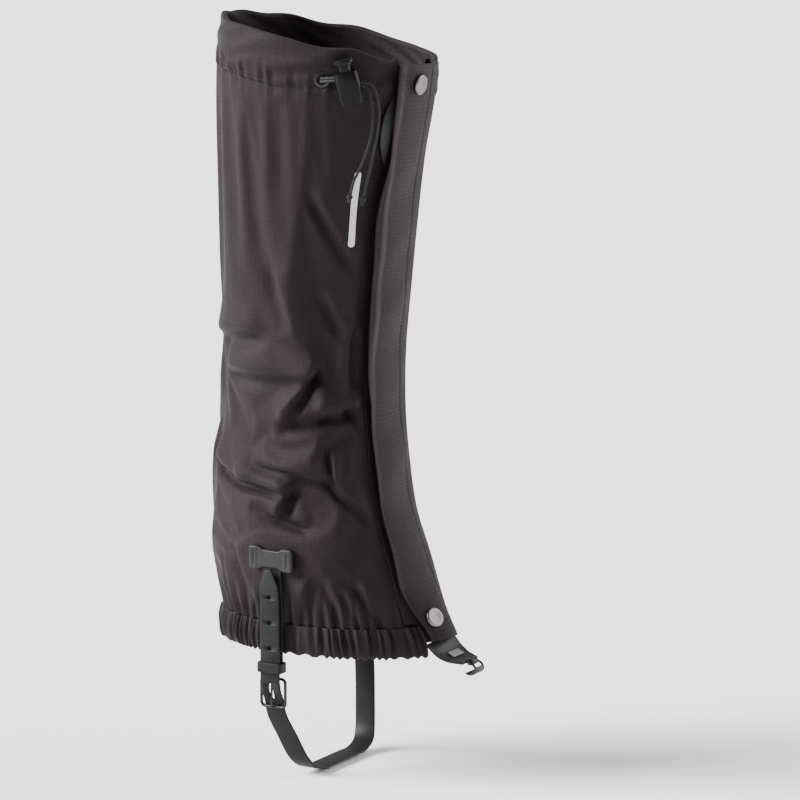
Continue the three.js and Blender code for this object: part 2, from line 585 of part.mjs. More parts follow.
// The free tails hang down the shell from the lock: steps down, outwards and forwards of the lock's exit.
const tailPath = {
  long: [[0, 0, 0], [1.2, 0, 0], [3.8, 0.6, 2], [6.4, 0.8, 7], [8.2, 0.3, 15], [8.6, -1.0, 24], [7.8, -2.4, 34],
    [5.6, -3.4, 46], [3.2, -4.0, 58], [0.8, -4.2, 68], [-1.4, -4.2, 78]],
  short: [[0, 0, 0], [1.0, 0, 0], [2.4, -0.2, 2.6], [3.4, -0.6, 8], [4.6, -1.6, 16], [5.0, -2.6, 26], [3.8, -3.5, 36],
    [0.9, -4.4, 46], [-3.4, -5.0, 57], [-7.6, -5.2, 66], [-9.6, -5.2, 74]],
};
const outH = lockOut.clone();
const frontH = new THREE.Vector3(0, 0, 1).cross(outH).multiplyScalar(lockSide.y < 0 ? -1 : 1);
if (frontH.y > 0) frontH.negate();
Object.entries(tailPath).forEach(([name, steps]) => {
  const spread = name === "long" ? CORD_SPREAD : -CORD_SPREAD;
  const start = lockExit(spread).addScaledVector(lockSide, lockSide.y < 0 ? GAP : -GAP);
  const points = steps.map(([f, o, d]) => start.clone().addScaledVector(frontH, f).addScaledVector(outH, o)
    .add(new THREE.Vector3(0, 0, -d)));
  add("drawcord_tail_" + name, tube(spline(points), CORD_D, 34, 8), "cord");
  const end = points.at(-1).clone();
  const dir = end.clone().sub(points.at(-2)).normalize();
  end.addScaledVector(dir, 2.6);
  const knot = new THREE.SphereGeometry(2.1, 12, 8);
  add("cord_knot_" + name, knot.translate(end.x, end.y, end.z), "cord");
});

// ---- instep strap plates, one pair each side --------------------------------------------
// The plate's own frame: along the tube, out of it and up.
const sideSign = { lateral: 1, medial: -1 };
function plateFrame(where) {
  const s = sideSign[where];
  const y = where === "lateral" ? PLATE_Y : PLATE_Y - 4;
  const t = s * (Math.PI / 2 + Math.asin((y * DEPTH_SCALE) / back(PLATE_Z)));
  const a = tubeFrame(t, PLATE_Z, 0);
  const out = a.out.clone().setZ(0).normalize();
  const up = new THREE.Vector3(0, 0, 1);
  return { p: a.p, out, up, along: up.clone().cross(out) };
}
function dogbone(length, height, waist) {
  const s = new THREE.Shape();
  const l = length / 2;
  const h = height / 2;
  const w = waist / 2;
  const r = 2;
  s.moveTo(-l + r, -h);
  s.lineTo(-l / 2 - 1, -h);
  s.quadraticCurveTo(-l / 2 + 1, -w, 0, -w);
  s.quadraticCurveTo(l / 2 - 1, -w, l / 2 + 1, -h);
  s.lineTo(l - r, -h);
  s.quadraticCurveTo(l, -h, l, -h + r);
  s.lineTo(l, h - r);
  s.quadraticCurveTo(l, h, l - r, h);
  s.lineTo(l / 2 + 1, h);
  s.quadraticCurveTo(l / 2 - 1, w, 0, w);
  s.quadraticCurveTo(-l / 2 + 1, w, -l / 2 - 1, h);
  s.lineTo(-l + r, h);
  s.quadraticCurveTo(-l, h, -l, h - r);
  s.lineTo(-l, -h + r);
  s.quadraticCurveTo(-l, -h, -l + r, -h);
  return s;
}
const PLATE_OFFSET = STRAP_THICK + 2 * GAP;
function onPlate(frame, g) {
  // shape plane: x along the tube, y up, z out
  return place(g, frame.p, frame.along, frame.up, frame.out);
}
const plates = {};
["lateral", "medial"].forEach((where) => {
  const f = plateFrame(where);
  plates[where] = f;
  const flat = new THREE.ExtrudeGeometry(dogbone(PLATE_LENGTH, PLATE_HEIGHT, PLATE_WAIST),
    { depth: PLATE_THICK, bevelEnabled: false, curveSegments: 5 });
  let solid = solidOf(onPlate(f, flat.translate(0, 0, PLATE_OFFSET)));
  [-1, 1].forEach((end) => {
    const foot = new THREE.BoxGeometry(6, PLATE_HEIGHT - 3, PLATE_OFFSET - GAP + 1);
    solid = solid.add(solidOf(onPlate(f, foot.translate(end * (PLATE_LENGTH / 2 - 4), 0,
      GAP + (PLATE_OFFSET - GAP + 1) / 2))));
    const slot = new THREE.BoxGeometry(1.4, PLATE_HEIGHT - 6, 0.8);
    solid = solid.subtract(solidOf(onPlate(f, slot.translate(end * (PLATE_LENGTH / 2 - 4), 0,
      PLATE_OFFSET + PLATE_THICK))));
  });
  add("strap_plate_" + where, geometryFrom(solid), "rubber");
  const backing = new THREE.BoxGeometry(PLATE_LENGTH - 2, PLATE_HEIGHT - 2, 1);
  const sag = (PLATE_LENGTH / 2) ** 2 / (2 * 80);
  add("plate_backing_" + where, onPlate(f, backing.translate(0, 0, -FABRIC - sag - 1.6)), "rubber");
});

// ---- straps -------------------------------------------------------------------------------
// A strap along a path of [point, side direction]; its outside is on the left of the run.
function ribbon(path, sideAt, width, thick, steps, taper) {
  return sweep(steps, (i) => {
    const u = i / steps;
    const p = path.getPointAt(u);
    const dir = path.getTangentAt(u);
    const side = sideAt(u, p);
    side.addScaledVector(dir, -side.dot(dir)).normalize();
    const out = side.clone().cross(dir).normalize();
    const w = (width / 2) * (taper ? taper(u) : 1);
    return [[-w, -0.5], [w, -0.5], [w, 0.5], [-w, 0.5]].map(([a, b]) =>
      p.clone().addScaledVector(side, a).addScaledVector(out, b * thick));
  });
}
const lat = plates.lateral;
const med = plates.medial;
const fromPlate = (f, along, out, z) => {
  const p = f.p.clone().addScaledVector(f.along, along).addScaledVector(f.out, out);
  p.z = z;
  return p;
};
const plateTop = PLATE_Z + PLATE_WAIST / 2 - 1;
const innerOff = GAP + STRAP_THICK / 2;
const hemOff = 1.6 + STRAP_THICK / 2;
// how far inwards of the plate's plane the hem lies on the strap's line
const hemX = -half(10) * Math.sqrt(1 - (PLATE_Y / back(10)) ** 2);
const barX = hemX - hemOff - 0.4;
const yStrap = lat.p.y;
const v = (x, y, z) => new THREE.Vector3(x, y, z);
const forward = v(0, 1, 0);
// Sideways direction of the straps: along the plates beside them, straight back lower down.
const strapSide = (u, p) => {
  const beside = p.x < 0 ? lat.along.clone() : med.along.clone().negate();
  return beside.lerp(v(0, Math.sign(beside.y), 0), smooth(PLATE_Z - 14, PLATE_Z - 40, p.z)).normalize();
};
const buckleStrapPath = spline([
  fromPlate(lat, 0, innerOff, plateTop),
  fromPlate(lat, 0, innerOff, PLATE_Z),
  fromPlate(lat, 0, innerOff + 0.1, PLATE_Z - 10),
  v(barX - 0.6, yStrap, 44),
  v(barX, yStrap, 30),
  v(barX, yStrap, 24),
  v(barX, yStrap, 0),
  v(barX, yStrap, BUCKLE_Z + 6),
  v(barX, yStrap, BUCKLE_Z + 4.2),
]);
add("buckle_strap", ribbon(buckleStrapPath, strapSide, STRAP_WIDTH, STRAP_THICK, 14), "rubber");

// buckle frame: a wire loop in the plane of the strap, its bars across it
const barR = BUCKLE_WIRE / 2;
const barTop = v(barX, yStrap, BUCKLE_Z);
function frameLoop() {
  const w = BUCKLE_WIDTH / 2 - barR;
  const h = BUCKLE_HEIGHT;
  const r = 3;
  const pts = [];
  const corner = (cy, cz, from) => {
    for (let k = 0; k <= 3; k += 1) {
      const a = from + (k * Math.PI) / 6;
      pts.push([cy + r * Math.cos(a), cz + r * Math.sin(a)]);
    }
  };
  corner(w - r, -r, 0);
  corner(-w + r, -r, Math.PI / 2);
  corner(-w + r, -h + r, Math.PI);
  corner(w - r, -h + r, 1.5 * Math.PI);
  return pts;
}
const loopPoints = frameLoop();
function torusLike(points, radius, sides) {
  // closed loop of rings in the YZ plane, at barTop
  const all = [];
  points.forEach((p, i) => {
    const a = points[(i + points.length - 1) % points.length];
    const b = points[(i + 1) % points.length];
    const d = [b[0] - a[0], b[1] - a[1]];
    const l = Math.hypot(...d);
    const nrm = [d[1] / l, -d[0] / l];
    for (let k = 0; k < sides; k += 1) {
      const t = (2 * Math.PI * k) / sides;
      all.push(v(barTop.x + radius * Math.sin(t), barTop.y + p[0] + nrm[0] * radius * Math.cos(t),
        barTop.z + p[1] + nrm[1] * radius * Math.cos(t)));
    }
  });
  const tri = [];
  for (let i = 0; i < points.length; i += 1)
    for (let k = 0; k < sides; k += 1) {
      const j = (i + 1) % points.length;
      const a = i * sides + k;
      const b = i * sides + ((k + 1) % sides);
      const c = j * sides + ((k + 1) % sides);
      const d = j * sides + k;
      tri.push(a, b, c, a, c, d);
    }
  return geometryOf(all, tri);
}
add("buckle_frame", torusLike(loopPoints, barR, 8), "metal");

// prong: a ring on the top bar and a tongue that rests on the bottom bar
const prongR = 0.8;
const prongRing = lathed([[barR + 0.35, -1.4], [barR + 1.5, -1.4], [barR + 1.5, 1.4], [barR + 0.35, 1.4],
  [barR + 0.35, -1.4]], 16).rotateX(-Math.PI / 2);
const tongue = tube(spline([v(-barR - 0.9, 0, -1.2), v(-barR - 1.2, 0, -7), v(-barR - 1.4, 0, -14),
  v(-barR - 0.35 - prongR, 0, -BUCKLE_HEIGHT - 0.6)]), 2 * prongR, 8, 8);
const prongSolid = solidOf(prongRing.translate(barTop.x, barTop.y, barTop.z))
  .add(solidOf(tongue.translate(barTop.x, barTop.y, barTop.z)));
add("buckle_prong", geometryFrom(prongSolid), "metal");

// instep strap: tip beside the lateral plate, over the top bar, behind the bottom bar, under the sole,
// to the medial plate
const freeX = barX - 4.4; // the free end lies over the standing strap
const bottomBarZ = BUCKLE_Z - BUCKLE_HEIGHT;
const behindBar = barTop.x + barR + GAP + STRAP_THICK / 2;
const medialY = med.p.y;
const instepPath = spline([
  fromPlate(lat, 0, PLATE_OFFSET + PLATE_THICK + 0.5 + STRAP_THICK / 2, PLATE_Z - 7),
  fromPlate(lat, 0, PLATE_OFFSET + PLATE_THICK + 0.5 + STRAP_THICK / 2, PLATE_Z - 14),
  v(freeX - 0.6, yStrap, 40),
  v(freeX, yStrap, 28),
  v(freeX, yStrap, 20),
  v(freeX, yStrap, 0),
  v(freeX, yStrap, BUCKLE_Z + 4),
  v(freeX, yStrap, BUCKLE_Z - 2),
  v(barX - 2.4, yStrap, BUCKLE_Z - 9),
  v(behindBar - 0.6, yStrap, bottomBarZ + 3.4),
  v(behindBar + 0.2, yStrap, bottomBarZ - 1),
  v(behindBar + 1.6, yStrap - 1.4, bottomBarZ - 8),
  v(-50, 3, -58),
  v(-46, -4, -74),
  v(-40, -7, -81),
  ...[-28, -18, -9, 0, 9, 18, 28].map((x) => v(x, -8, SOLE_Z - STRAP_THICK / 2)),
  v(40, -7, -81),
  v(46, -5, -74),
  v(50, -3, -58),
  v(54.5, 0, -30),
  v(half(5) + 2.9, medialY - 1, -4),
  v(half(14) + 3.0, medialY, 14),
  v(half(30) + 2.4, medialY, 32),
  fromPlate(med, 0, innerOff + 0.5, PLATE_Z - 14),
  fromPlate(med, 0, innerOff, PLATE_Z - 4),
  fromPlate(med, 0, innerOff, plateTop),
]);
const tipTaper = (u) => Math.min(1, 0.35 + u * 22);
const prongHole = solidOf(new THREE.BoxGeometry(9, 3.2, 10).translate(barTop.x - 2.4, barTop.y, BUCKLE_Z - 8.6));
const holeAt = (z) => solidOf(cylinder(1.6, 14, 12).rotateY(Math.PI / 2).translate(barX - 4, yStrap, z));
add("instep_strap", ribbon(instepPath, strapSide, STRAP_WIDTH, STRAP_THICK, 72, tipTaper), "rubber",
  [prongHole, holeAt(40), holeAt(22), holeAt(4)]);

// keeper: a band round the standing strap and the free end
const KEEPER_Z = BUCKLE_Z + 6;
const keeperIn = barX + STRAP_THICK / 2 + 0.6;
const keeperOut = freeX - STRAP_THICK / 2 - 0.6;
const keeperLoop = (z, grow) => {
  const w = STRAP_WIDTH / 2 + 0.6 + grow;
  return [v(keeperIn + grow, yStrap - w, z), v(keeperIn + grow, yStrap + w, z), v(keeperOut - grow, yStrap + w, z),
    v(keeperOut - grow, yStrap - w, z)];
};
add("strap_keeper", pipe(1, (i) => keeperLoop(KEEPER_Z + 7 * i - 1, 1.4), (i) => keeperLoop(KEEPER_Z + 7 * i - 1, 0)),
  "rubber");

// ---- lace tab, its label and its hook ---------------------------------------------------------
const tabInside = (n, off) => shell(0, n, off);
const inOff = -FABRIC - 3.7 - TAB_THICK / 2;
const tabLine = [tabInside(36, inOff), tabInside(26, inOff), tabInside(17, inOff), tabInside(9, inOff + 1)];
const tabExit = tabLine.at(-1);
const TAB_TIP = v(0, tabExit.y - 19.5, tabExit.z - 10.5);
tabLine.push(v(0, tabExit.y - 4.2, tabExit.z - 5.6), v(0, tabExit.y - 9.5, tabExit.z - 8.6), TAB_TIP.clone());
const tabPath = spline(tabLine);
const TAB_HIDDEN = 0.36; // share of the width behind the placket
const tabWidth = (u) => {
  const z = tabPath.getPointAt(u).z;
  const out = smooth(tabExit.z - 0.5, tabExit.z - 3.5, z);
  const taper = 1 - 0.42 * Math.pow(Math.max(0, (u - 0.6) / 0.4), 1.6);
  return (TAB_HIDDEN + (1 - TAB_HIDDEN) * out) * taper;
};
const barCentre = v(0, TAB_TIP.y - HOOK_BAR_R - 1, TAB_TIP.z);
const eyeBore = HOOK_BAR_R + GAP;
const eyeR = HOOK_BAR_R + 1.7;
const acrossBar = (g) => solidOf(g.rotateY(Math.PI / 2).translate(barCentre.x, barCentre.y, barCentre.z));
const tabEye = acrossBar(lathed([[eyeBore, -EYE_HALF], [eyeR, -EYE_HALF], [eyeR, EYE_HALF], [eyeBore, EYE_HALF],
  [eyeBore, -EYE_HALF]], 14));
const tabBody = solidOf(ribbon(tabPath, () => v(1, 0, 0), TAB_WIDTH, TAB_THICK, 18, tabWidth));
add("lace_tab", geometryFrom(tabBody.add(tabEye).subtract(acrossBar(cylinder(eyeBore, 30, 14)))), "rubber");
const labelFrom = tabPath.getPointAt(0.7);
const labelTo = tabPath.getPointAt(0.86);
const labelDir = labelTo.clone().sub(labelFrom).normalize();
const labelOut = v(1, 0, 0).cross(labelDir);
if (labelOut.z < 0) labelOut.negate();
const labelMid = labelFrom.clone().add(labelTo).multiplyScalar(0.5).addScaledVector(labelOut, TAB_THICK / 2 + 0.7);
add("label_patch", place(new THREE.BoxGeometry(LABEL_WIDTH, LABEL_LENGTH, LABEL_THICK), labelMid, v(1, 0, 0),
  labelOut.clone().cross(v(1, 0, 0)), labelOut), "white");

// hook: a bar in the tab's eye, two arms and a tongue that curls back under the laces
const hookPlan = [[0, 0], [-2.8, -1], [-4.9, -3], [-5.4, -5.4], [-3.8, -7.5], [-0.9, -8.3], [2.1, -7.7]];
const hookLine = spline(hookPlan.map(([y, z]) => barCentre.clone().add(v(0, y, z))));
let hookSolid = acrossBar(cylinder(HOOK_BAR_R, 2 * HOOK_HALF + ARM_WIDTH, 12));
[-1, 1].forEach((s) => {
  hookSolid = hookSolid.add(solidOf(ribbon(hookLine, () => v(1, 0, 0), ARM_WIDTH, 1.4, 12)
    .translate(s * HOOK_HALF, 0, 0)));
});
const webLine = spline(hookPlan.slice(2).map(([y, z]) => barCentre.clone().add(v(0, y, z))));
hookSolid = hookSolid.add(solidOf(ribbon(webLine, () => v(1, 0, 0), 2 * HOOK_HALF, 1.2, 8)));
add("lace_hook", geometryFrom(hookSolid), "metal");

export default root;
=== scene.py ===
import math

import bmesh
import bpy
import numpy as np
from mathutils import Matrix, Vector


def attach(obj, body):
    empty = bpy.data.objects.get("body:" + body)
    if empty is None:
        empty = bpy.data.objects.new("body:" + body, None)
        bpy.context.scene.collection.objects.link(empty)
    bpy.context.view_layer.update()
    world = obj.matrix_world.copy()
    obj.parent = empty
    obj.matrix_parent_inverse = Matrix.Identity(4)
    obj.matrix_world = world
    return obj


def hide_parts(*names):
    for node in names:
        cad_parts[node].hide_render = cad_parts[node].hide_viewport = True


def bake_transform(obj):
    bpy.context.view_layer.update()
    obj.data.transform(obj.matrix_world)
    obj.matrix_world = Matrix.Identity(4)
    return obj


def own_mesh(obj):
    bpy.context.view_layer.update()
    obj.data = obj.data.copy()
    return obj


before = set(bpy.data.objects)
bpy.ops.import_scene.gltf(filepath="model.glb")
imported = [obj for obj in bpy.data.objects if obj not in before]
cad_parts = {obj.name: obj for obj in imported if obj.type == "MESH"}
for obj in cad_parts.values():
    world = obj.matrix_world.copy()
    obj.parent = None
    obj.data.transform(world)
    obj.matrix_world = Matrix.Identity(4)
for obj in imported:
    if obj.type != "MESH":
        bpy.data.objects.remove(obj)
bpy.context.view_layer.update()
MM = 0.001

# ---- camera: long lens, level with the calf, from the wearer's front right -----------------------
AZIMUTH = math.radians(-61)
ELEVATION = math.radians(12)
CAMERA_DISTANCE = 6.0
LENS = 391.5
SENSOR = 36
AIM_RIGHT = 0.0510
AIM_UP = 0.1634


def make_camera():
    """Right, up and back vectors from azimuth and elevation; the aim is given along right and up."""
    right = Vector((math.cos(AZIMUTH), math.sin(AZIMUTH), 0))
    back = Vector((
        math.sin(AZIMUTH) * math.cos(ELEVATION),
        -math.cos(AZIMUTH) * math.cos(ELEVATION),
        math.sin(ELEVATION),
    ))
    up = back.cross(right)
    data = bpy.data.cameras.new("camera")
    data.sensor_width = SENSOR
    data.lens = LENS
    data.clip_end = 50
    camera = bpy.data.objects.new("camera", data)
    bpy.context.scene.collection.objects.link(camera)
    place = right * AIM_RIGHT + up * AIM_UP + back * CAMERA_DISTANCE
    turn = Matrix((right, up, back)).transposed().to_quaternion()
    camera.matrix_world = Matrix.LocRotScale(place, turn, None)
    bpy.context.scene.camera = camera


make_camera()

# ---- the tube's section, in millimetres ----------------------------------------------------------
BACK = [(0, 76), (22, 74.4), (42, 80.6), (62, 83), (100, 82), (130, 81.7), (153, 75), (180, 75.6),
        (200, 73.4), (236, 75), (306, 77), (342, 78.5), (377, 76), (434, 68)]
FRONT = [(0, 84), (10, 83), (24, 79.5), (42, 75), (60, 70), (95, 58.4), (130, 53), (165, 50), (207, 50.2),
         (250, 54), (306, 59.6), (350, 65), (377, 70), (395, 73), (430, 77)]
SIDE = [(0, 54.5), (80, 58), (150, 57), (200, 59), (236, 62), (306, 68), (340, 70), (377, 69.5),
        (430, 68)]
NOSE = [(0, 17), (10, 14), (24, 8.2), (42, 4.2), (60, 2), (95, 0), (430, 0)]
FRONT_POWER = 2.3
NOSE_WIDTH = 22
RIM_LEVEL = 2.3
RIM_RISE_X = -0.128
RIM_RISE_Y = 0.154
FULL_HEIGHT = 420.0


def curve(table, at):
    """Smooth curve through the table's points: cubic Hermite with central slopes."""
    table = np.array(table, float)
    x, y = table[:, 0], table[:, 1]
    slope = np.empty(len(x))
    slope[1:-1] = (y[2:] - y[:-2]) / (x[2:] - x[:-2])
    slope[0] = (y[1] - y[0]) / (x[1] - x[0])
    slope[-1] = (y[-1] - y[-2]) / (x[-1] - x[-2])
    at = np.clip(at, x[0], x[-1])
    i = np.clip(np.searchsorted(x, at, side="right") - 1, 0, len(x) - 2)
    h = x[i + 1] - x[i]
    t = (at - x[i]) / h
    return ((2 * t**3 - 3 * t**2 + 1) * y[i] + (t**3 - 2 * t**2 + t) * h * slope[i]
            + (3 * t**2 - 2 * t**3) * y[i + 1] + (t**3 - t**2) * h * slope[i + 1])


def section(t, n):
    """Plan of the tube at level n: half an ellipse behind, a squarer half in front, with the instep ridge."""
    s, c = np.sin(t), np.cos(t)
    x = -curve(SIDE, n) * s
    flat = np.maximum(0, 1 - np.abs(s) ** FRONT_POWER) ** (1 / FRONT_POWER)
    front = -curve(FRONT, n) * flat - curve(NOSE, n) * np.exp(-((x / NOSE_WIDTH) ** 2))
    return x, np.where(c < 0, -curve(BACK, n) * c, front)


def level(x, y, n):
    """Height of a point from its level: the hem is flat and the rim is a tilted plane."""
    return n + (n / FULL_HEIGHT) ** 2 * (RIM_LEVEL + RIM_RISE_X * x + RIM_RISE_Y * y)


def shell(t, n, offset=0.0):
    """Point of the tube at angle t and level n, moved out along the surface normal by offset."""
    t, n, offset = np.broadcast_arrays(*(np.asarray(a, float) for a in (t, n, offset)))
    e = 1e-3
    x, y = section(t, n)
    x1, y1 = section(t + e, n)
    x0, y0 = section(t - e, n)
    dx, dy = x1 - x0, y1 - y0
    length = np.hypot(dx, dy)
    nx, ny = -dy / length, dx / length
    turn = np.where(nx * x + ny * y > 0, 1.0, -1.0)
    nx, ny = nx * turn, ny * turn
    ux, uy = section(t, n + 0.5)
    lx, ly = section(t, n - 0.5)
    rise = nx * (ux - lx) + ny * (uy - ly)
    tilt = np.hypot(1, rise)
    out = offset / tilt
    return np.stack([x + nx * out, y + ny * out, level(x, y, n) - rise * out], -1)


def angle_at(x, n):
    """Angle at which the tube passes x, on its front."""
    return np.arcsin(-x / curve(SIDE, n))


def smooth(a, b, v):
    """0 before a, 1 after b, with a smooth step between."""
    t = np.clip((np.asarray(v, float) - a) / (b - a), 0, 1)
    return t * t * (3 - 2 * t)


def spline(points, count):
    """Even samples of a centripetal Catmull-Rom curve through the points."""
    p = np.array(points, float)
    p = np.vstack([2 * p[0] - p[1], p, 2 * p[-1] - p[-2]])
    out = []
    for k in range(1, len(p) - 2):
        a, b, c, d = p[k - 1 : k + 3]
        t0 = 0.0
        t1 = t0 + np.linalg.norm(b - a) ** 0.5
        t2 = t1 + np.linalg.norm(c - b) ** 0.5
        t3 = t2 + np.linalg.norm(d - c) ** 0.5
        t = np.linspace(t1, t2, 24, endpoint=False)[:, None]
        ab = (t1 - t) / (t1 - t0) * a + (t - t0) / (t1 - t0) * b
        bc = (t2 - t) / (t2 - t1) * b + (t - t1) / (t2 - t1) * c
        cd = (t3 - t) / (t3 - t2) * c + (t - t2) / (t3 - t2) * d
        abc = (t2 - t) / (t2 - t0) * ab + (t - t0) / (t2 - t0) * bc
        bcd = (t3 - t) / (t3 - t1) * bc + (t - t1) / (t3 - t1) * cd
        out.append((t2 - t) / (t2 - t1) * abc + (t - t1) / (t2 - t1) * bcd)
    fine = np.vstack([*out, p[-2][None]])
    return resample(fine, count)


def resample(line, count):
    """The same line with count evenly spaced points."""
    step = np.linalg.norm(np.diff(line, axis=0), axis=1)
    along = np.concatenate([[0], np.cumsum(step)])
    even = np.linspace(0, along[-1], count)
    return np.stack([np.interp(even, along, line[:, k]) for k in range(3)], -1)


def unit(v):
    """Vectors of length 1."""
    return v / np.maximum(np.linalg.norm(v, axis=-1, keepdims=True), 1e-12)


# ---- meshes --------------------------------------------------------------------------------------
def mesh_from(name, points, faces, uv=None):
    """A mesh object from points in millimetres and an array of quads; uv gives one pair for each point."""
    data = bpy.data.meshes.new(name)
    points = np.asarray(points, float).reshape(-1, 3)
    faces = np.asarray(faces, np.int32).reshape(-1, 4)
    loops = faces.ravel()
    data.vertices.add(len(points))
    data.vertices.foreach_set("co", (points * MM).ravel())
    data.loops.add(len(loops))
    data.loops.foreach_set("vertex_index", loops)
    data.polygons.add(len(faces))
    data.polygons.foreach_set("loop_start", np.arange(0, len(loops), 4, dtype=np.int32))
    data.polygons.foreach_set("use_smooth", np.full(len(faces), True))
    data.update(calc_edges=True)
    data.validate()
    if uv is not None:
        layer = data.uv_layers.new(name="cloth")
        pairs = np.asarray(uv, float).reshape(-1, 2)
        index = np.empty(len(data.loops), np.int32)
        data.loops.foreach_get("vertex_index", index)
        layer.data.foreach_set("uv", (pairs[index] * MM).ravel())
    obj = bpy.data.objects.new(name, data)
    bpy.context.scene.collection.objects.link(obj)
    return obj


def quads(rows, columns, close_rows=False, close_columns=False, flip=False):
    """Index array of the quads of a grid of points, rows by columns."""
    r = np.arange(rows if close_rows else rows - 1)[:, None]
    c = np.arange(columns if close_columns else columns - 1)[None, :]
    r2, c2 = (r + 1) % rows, (c + 1) % columns
    corners = [r * columns + c, r * columns + c2, r2 * columns + c2, r2 * columns + c]
    faces = np.stack([np.broadcast_to(k, (r.size, c.size)) for k in corners], -1).reshape(-1, 4)
    return faces[:, ::-1] if flip else faces


def slab(name, outer, inner, uv=None):
    """Closed slab between two sheets of points of the same size, its edges joined by a strip of quads."""
    rows, columns = outer.shape[:2]
    size = rows * columns
    top = quads(rows, columns)
    under = quads(rows, columns, flip=True) + size
    grid = np.arange(size).reshape(rows, columns)
    edge = np.concatenate([grid[0, :-1], grid[:-1, -1], grid[-1, :0:-1], grid[:0:-1, 0]])
    following = np.roll(edge, -1)
    sides = np.stack([edge, edge + size, following + size, following], -1)
    points = np.concatenate([outer.reshape(-1, 3), inner.reshape(-1, 3)])
    pairs = None if uv is None else np.concatenate([uv.reshape(-1, 2)] * 2)
    return outward(mesh_from(name, points, np.concatenate([top, under, sides]), pairs))


def outward(obj):
    """Turns a closed mesh's faces so that its volume is positive."""
    data = obj.data
    count = len(data.vertices)
    points = np.empty(count * 3)
    data.vertices.foreach_get("co", points)
    points = points.reshape(-1, 3)
    data.calc_loop_triangles()
    tri = np.empty(len(data.loop_triangles) * 3, np.int32)
    data.loop_triangles.foreach_get("vertices", tri)
    a, b, c = (points[tri.reshape(-1, 3)[:, k]] for k in range(3))
    if np.einsum("ij,ij->i", a, np.cross(b, c)).sum() < 0:
        data.flip_normals()
    return obj


def swept(name, path, side, out, profile, closed=False, scale=None):
    """A closed profile (pairs along side and out) carried along a path of points, its ends filled by fans."""
    path, side, out = (np.asarray(a, float) for a in (path, side, out))
    side, out = np.broadcast_to(side, path.shape), np.broadcast_to(out, path.shape)
    profile = np.asarray(profile, float)
    scale = np.ones((len(path), 2)) if scale is None else scale
    ring = (path[:, None] + side[:, None] * (profile[None, :, :1] * scale[:, None, :1])
            + out[:, None] * (profile[None, :, 1:] * scale[:, None, 1:]))
    count, around = ring.shape[:2]
    run = np.concatenate([[0], np.cumsum(np.linalg.norm(np.diff(path, axis=0), axis=1))])
    across = np.concatenate([[0], np.cumsum(np.linalg.norm(np.diff(profile, axis=0), axis=1))])
    uv = np.stack(np.broadcast_arrays(across[None, :], run[:, None]), -1)
    faces = quads(count, around, close_rows=closed, close_columns=True)
    points = ring.reshape(-1, 3)
    uv = uv.reshape(-1, 2)
    if not closed:
        ends = np.stack([ring[0].mean(0), ring[-1].mean(0)])
        first, last = len(points), len(points) + 1
        points = np.concatenate([points, ends])
        uv = np.concatenate([uv, uv[[0, -1]]])
        k = np.arange(0, around - around % 2, 2)
        k1, k2 = (k + 1) % around, (k + 2) % around
        base = (count - 1) * around
        start = np.stack([np.full(len(k), first), k2, k1, k], -1)
        stop = np.stack([np.full(len(k), last), base + k, base + k1, base + k2], -1)
        faces = np.concatenate([faces, start, stop])
    return outward(mesh_from(name, points, faces, uv))


def loop_forward(path):
    """Forward directions along a closed path."""
    return unit(np.roll(path, -1, 0) - np.roll(path, 1, 0))


def carried(path, start_side):
    """Side and out directions along a path, from the start side, without twist."""
    tangent = unit(np.gradient(np.asarray(path, float), axis=0))
    sides = np.empty_like(tangent)
    side = np.asarray(start_side, float)
    for k, forward in enumerate(tangent):
        side = side - forward * (side @ forward)
        side = side / np.linalg.norm(side)
        sides[k] = side
    return sides, np.cross(sides, tangent)


def circle(radius, count=16):
    """Loop of pairs on a circle."""
    a = np.linspace(0, 2 * np.pi, count, endpoint=False)
    return np.stack([radius * np.cos(a), radius * np.sin(a)], -1)


def rounded_bar(width, thick, corner, steps=4):
    """Outline of a flat bar with round corners, as a loop of pairs."""
    a = np.linspace(0, np.pi / 2, steps)
    arc = np.stack([np.cos(a), np.sin(a)], -1) * corner
    cx, cy = width / 2 - corner, thick / 2 - corner
    loop = [arc + (cx, cy), arc[::-1] * (-1, 1) + (-cx, cy), arc * (-1, -1) + (-cx, -cy),
            arc[::-1] * (1, -1) + (cx, -cy)]
    return np.concatenate(loop)


def tube(name, points, radius, count, ring):
    """A round rod along a smooth curve."""
    path = spline(points, count)
    start = np.cross(path[1] - path[0], (0.31, 0.17, 0.93))
    side, out = carried(path, start)
    return swept(name, path, side, out, circle(radius, ring))


def turned(name, place, profile, around=48):
    """A profile of (radius, height) pairs turned about the place's third direction."""
    centre, along, up, out = place
    profile = np.asarray(profile, float)
    a = np.linspace(0, 2 * np.pi, around, endpoint=False)
    ring = (np.cos(a)[None, :, None] * along + np.sin(a)[None, :, None] * up) * profile[:, None, :1]
    points = centre + ring + profile[:, None, 1:] * out
    closed = bool(np.allclose(profile[0], profile[-1]))
    if closed:
        points = points[:-1]
    rows = len(points)
    obj = mesh_from(name, points, quads(rows, around, close_rows=closed, close_columns=True))
    merge(obj)
    return outward(obj)


MERGE_DISTANCE = 1e-6


def merge(obj):
    """Merges doubled points, as at a pole."""
    work = bmesh.new()
    work.from_mesh(obj.data)
    bmesh.ops.remove_doubles(work, verts=work.verts, dist=MERGE_DISTANCE)
    bmesh.ops.dissolve_degenerate(work, edges=work.edges, dist=MERGE_DISTANCE)
    work.to_mesh(obj.data)
    work.free()


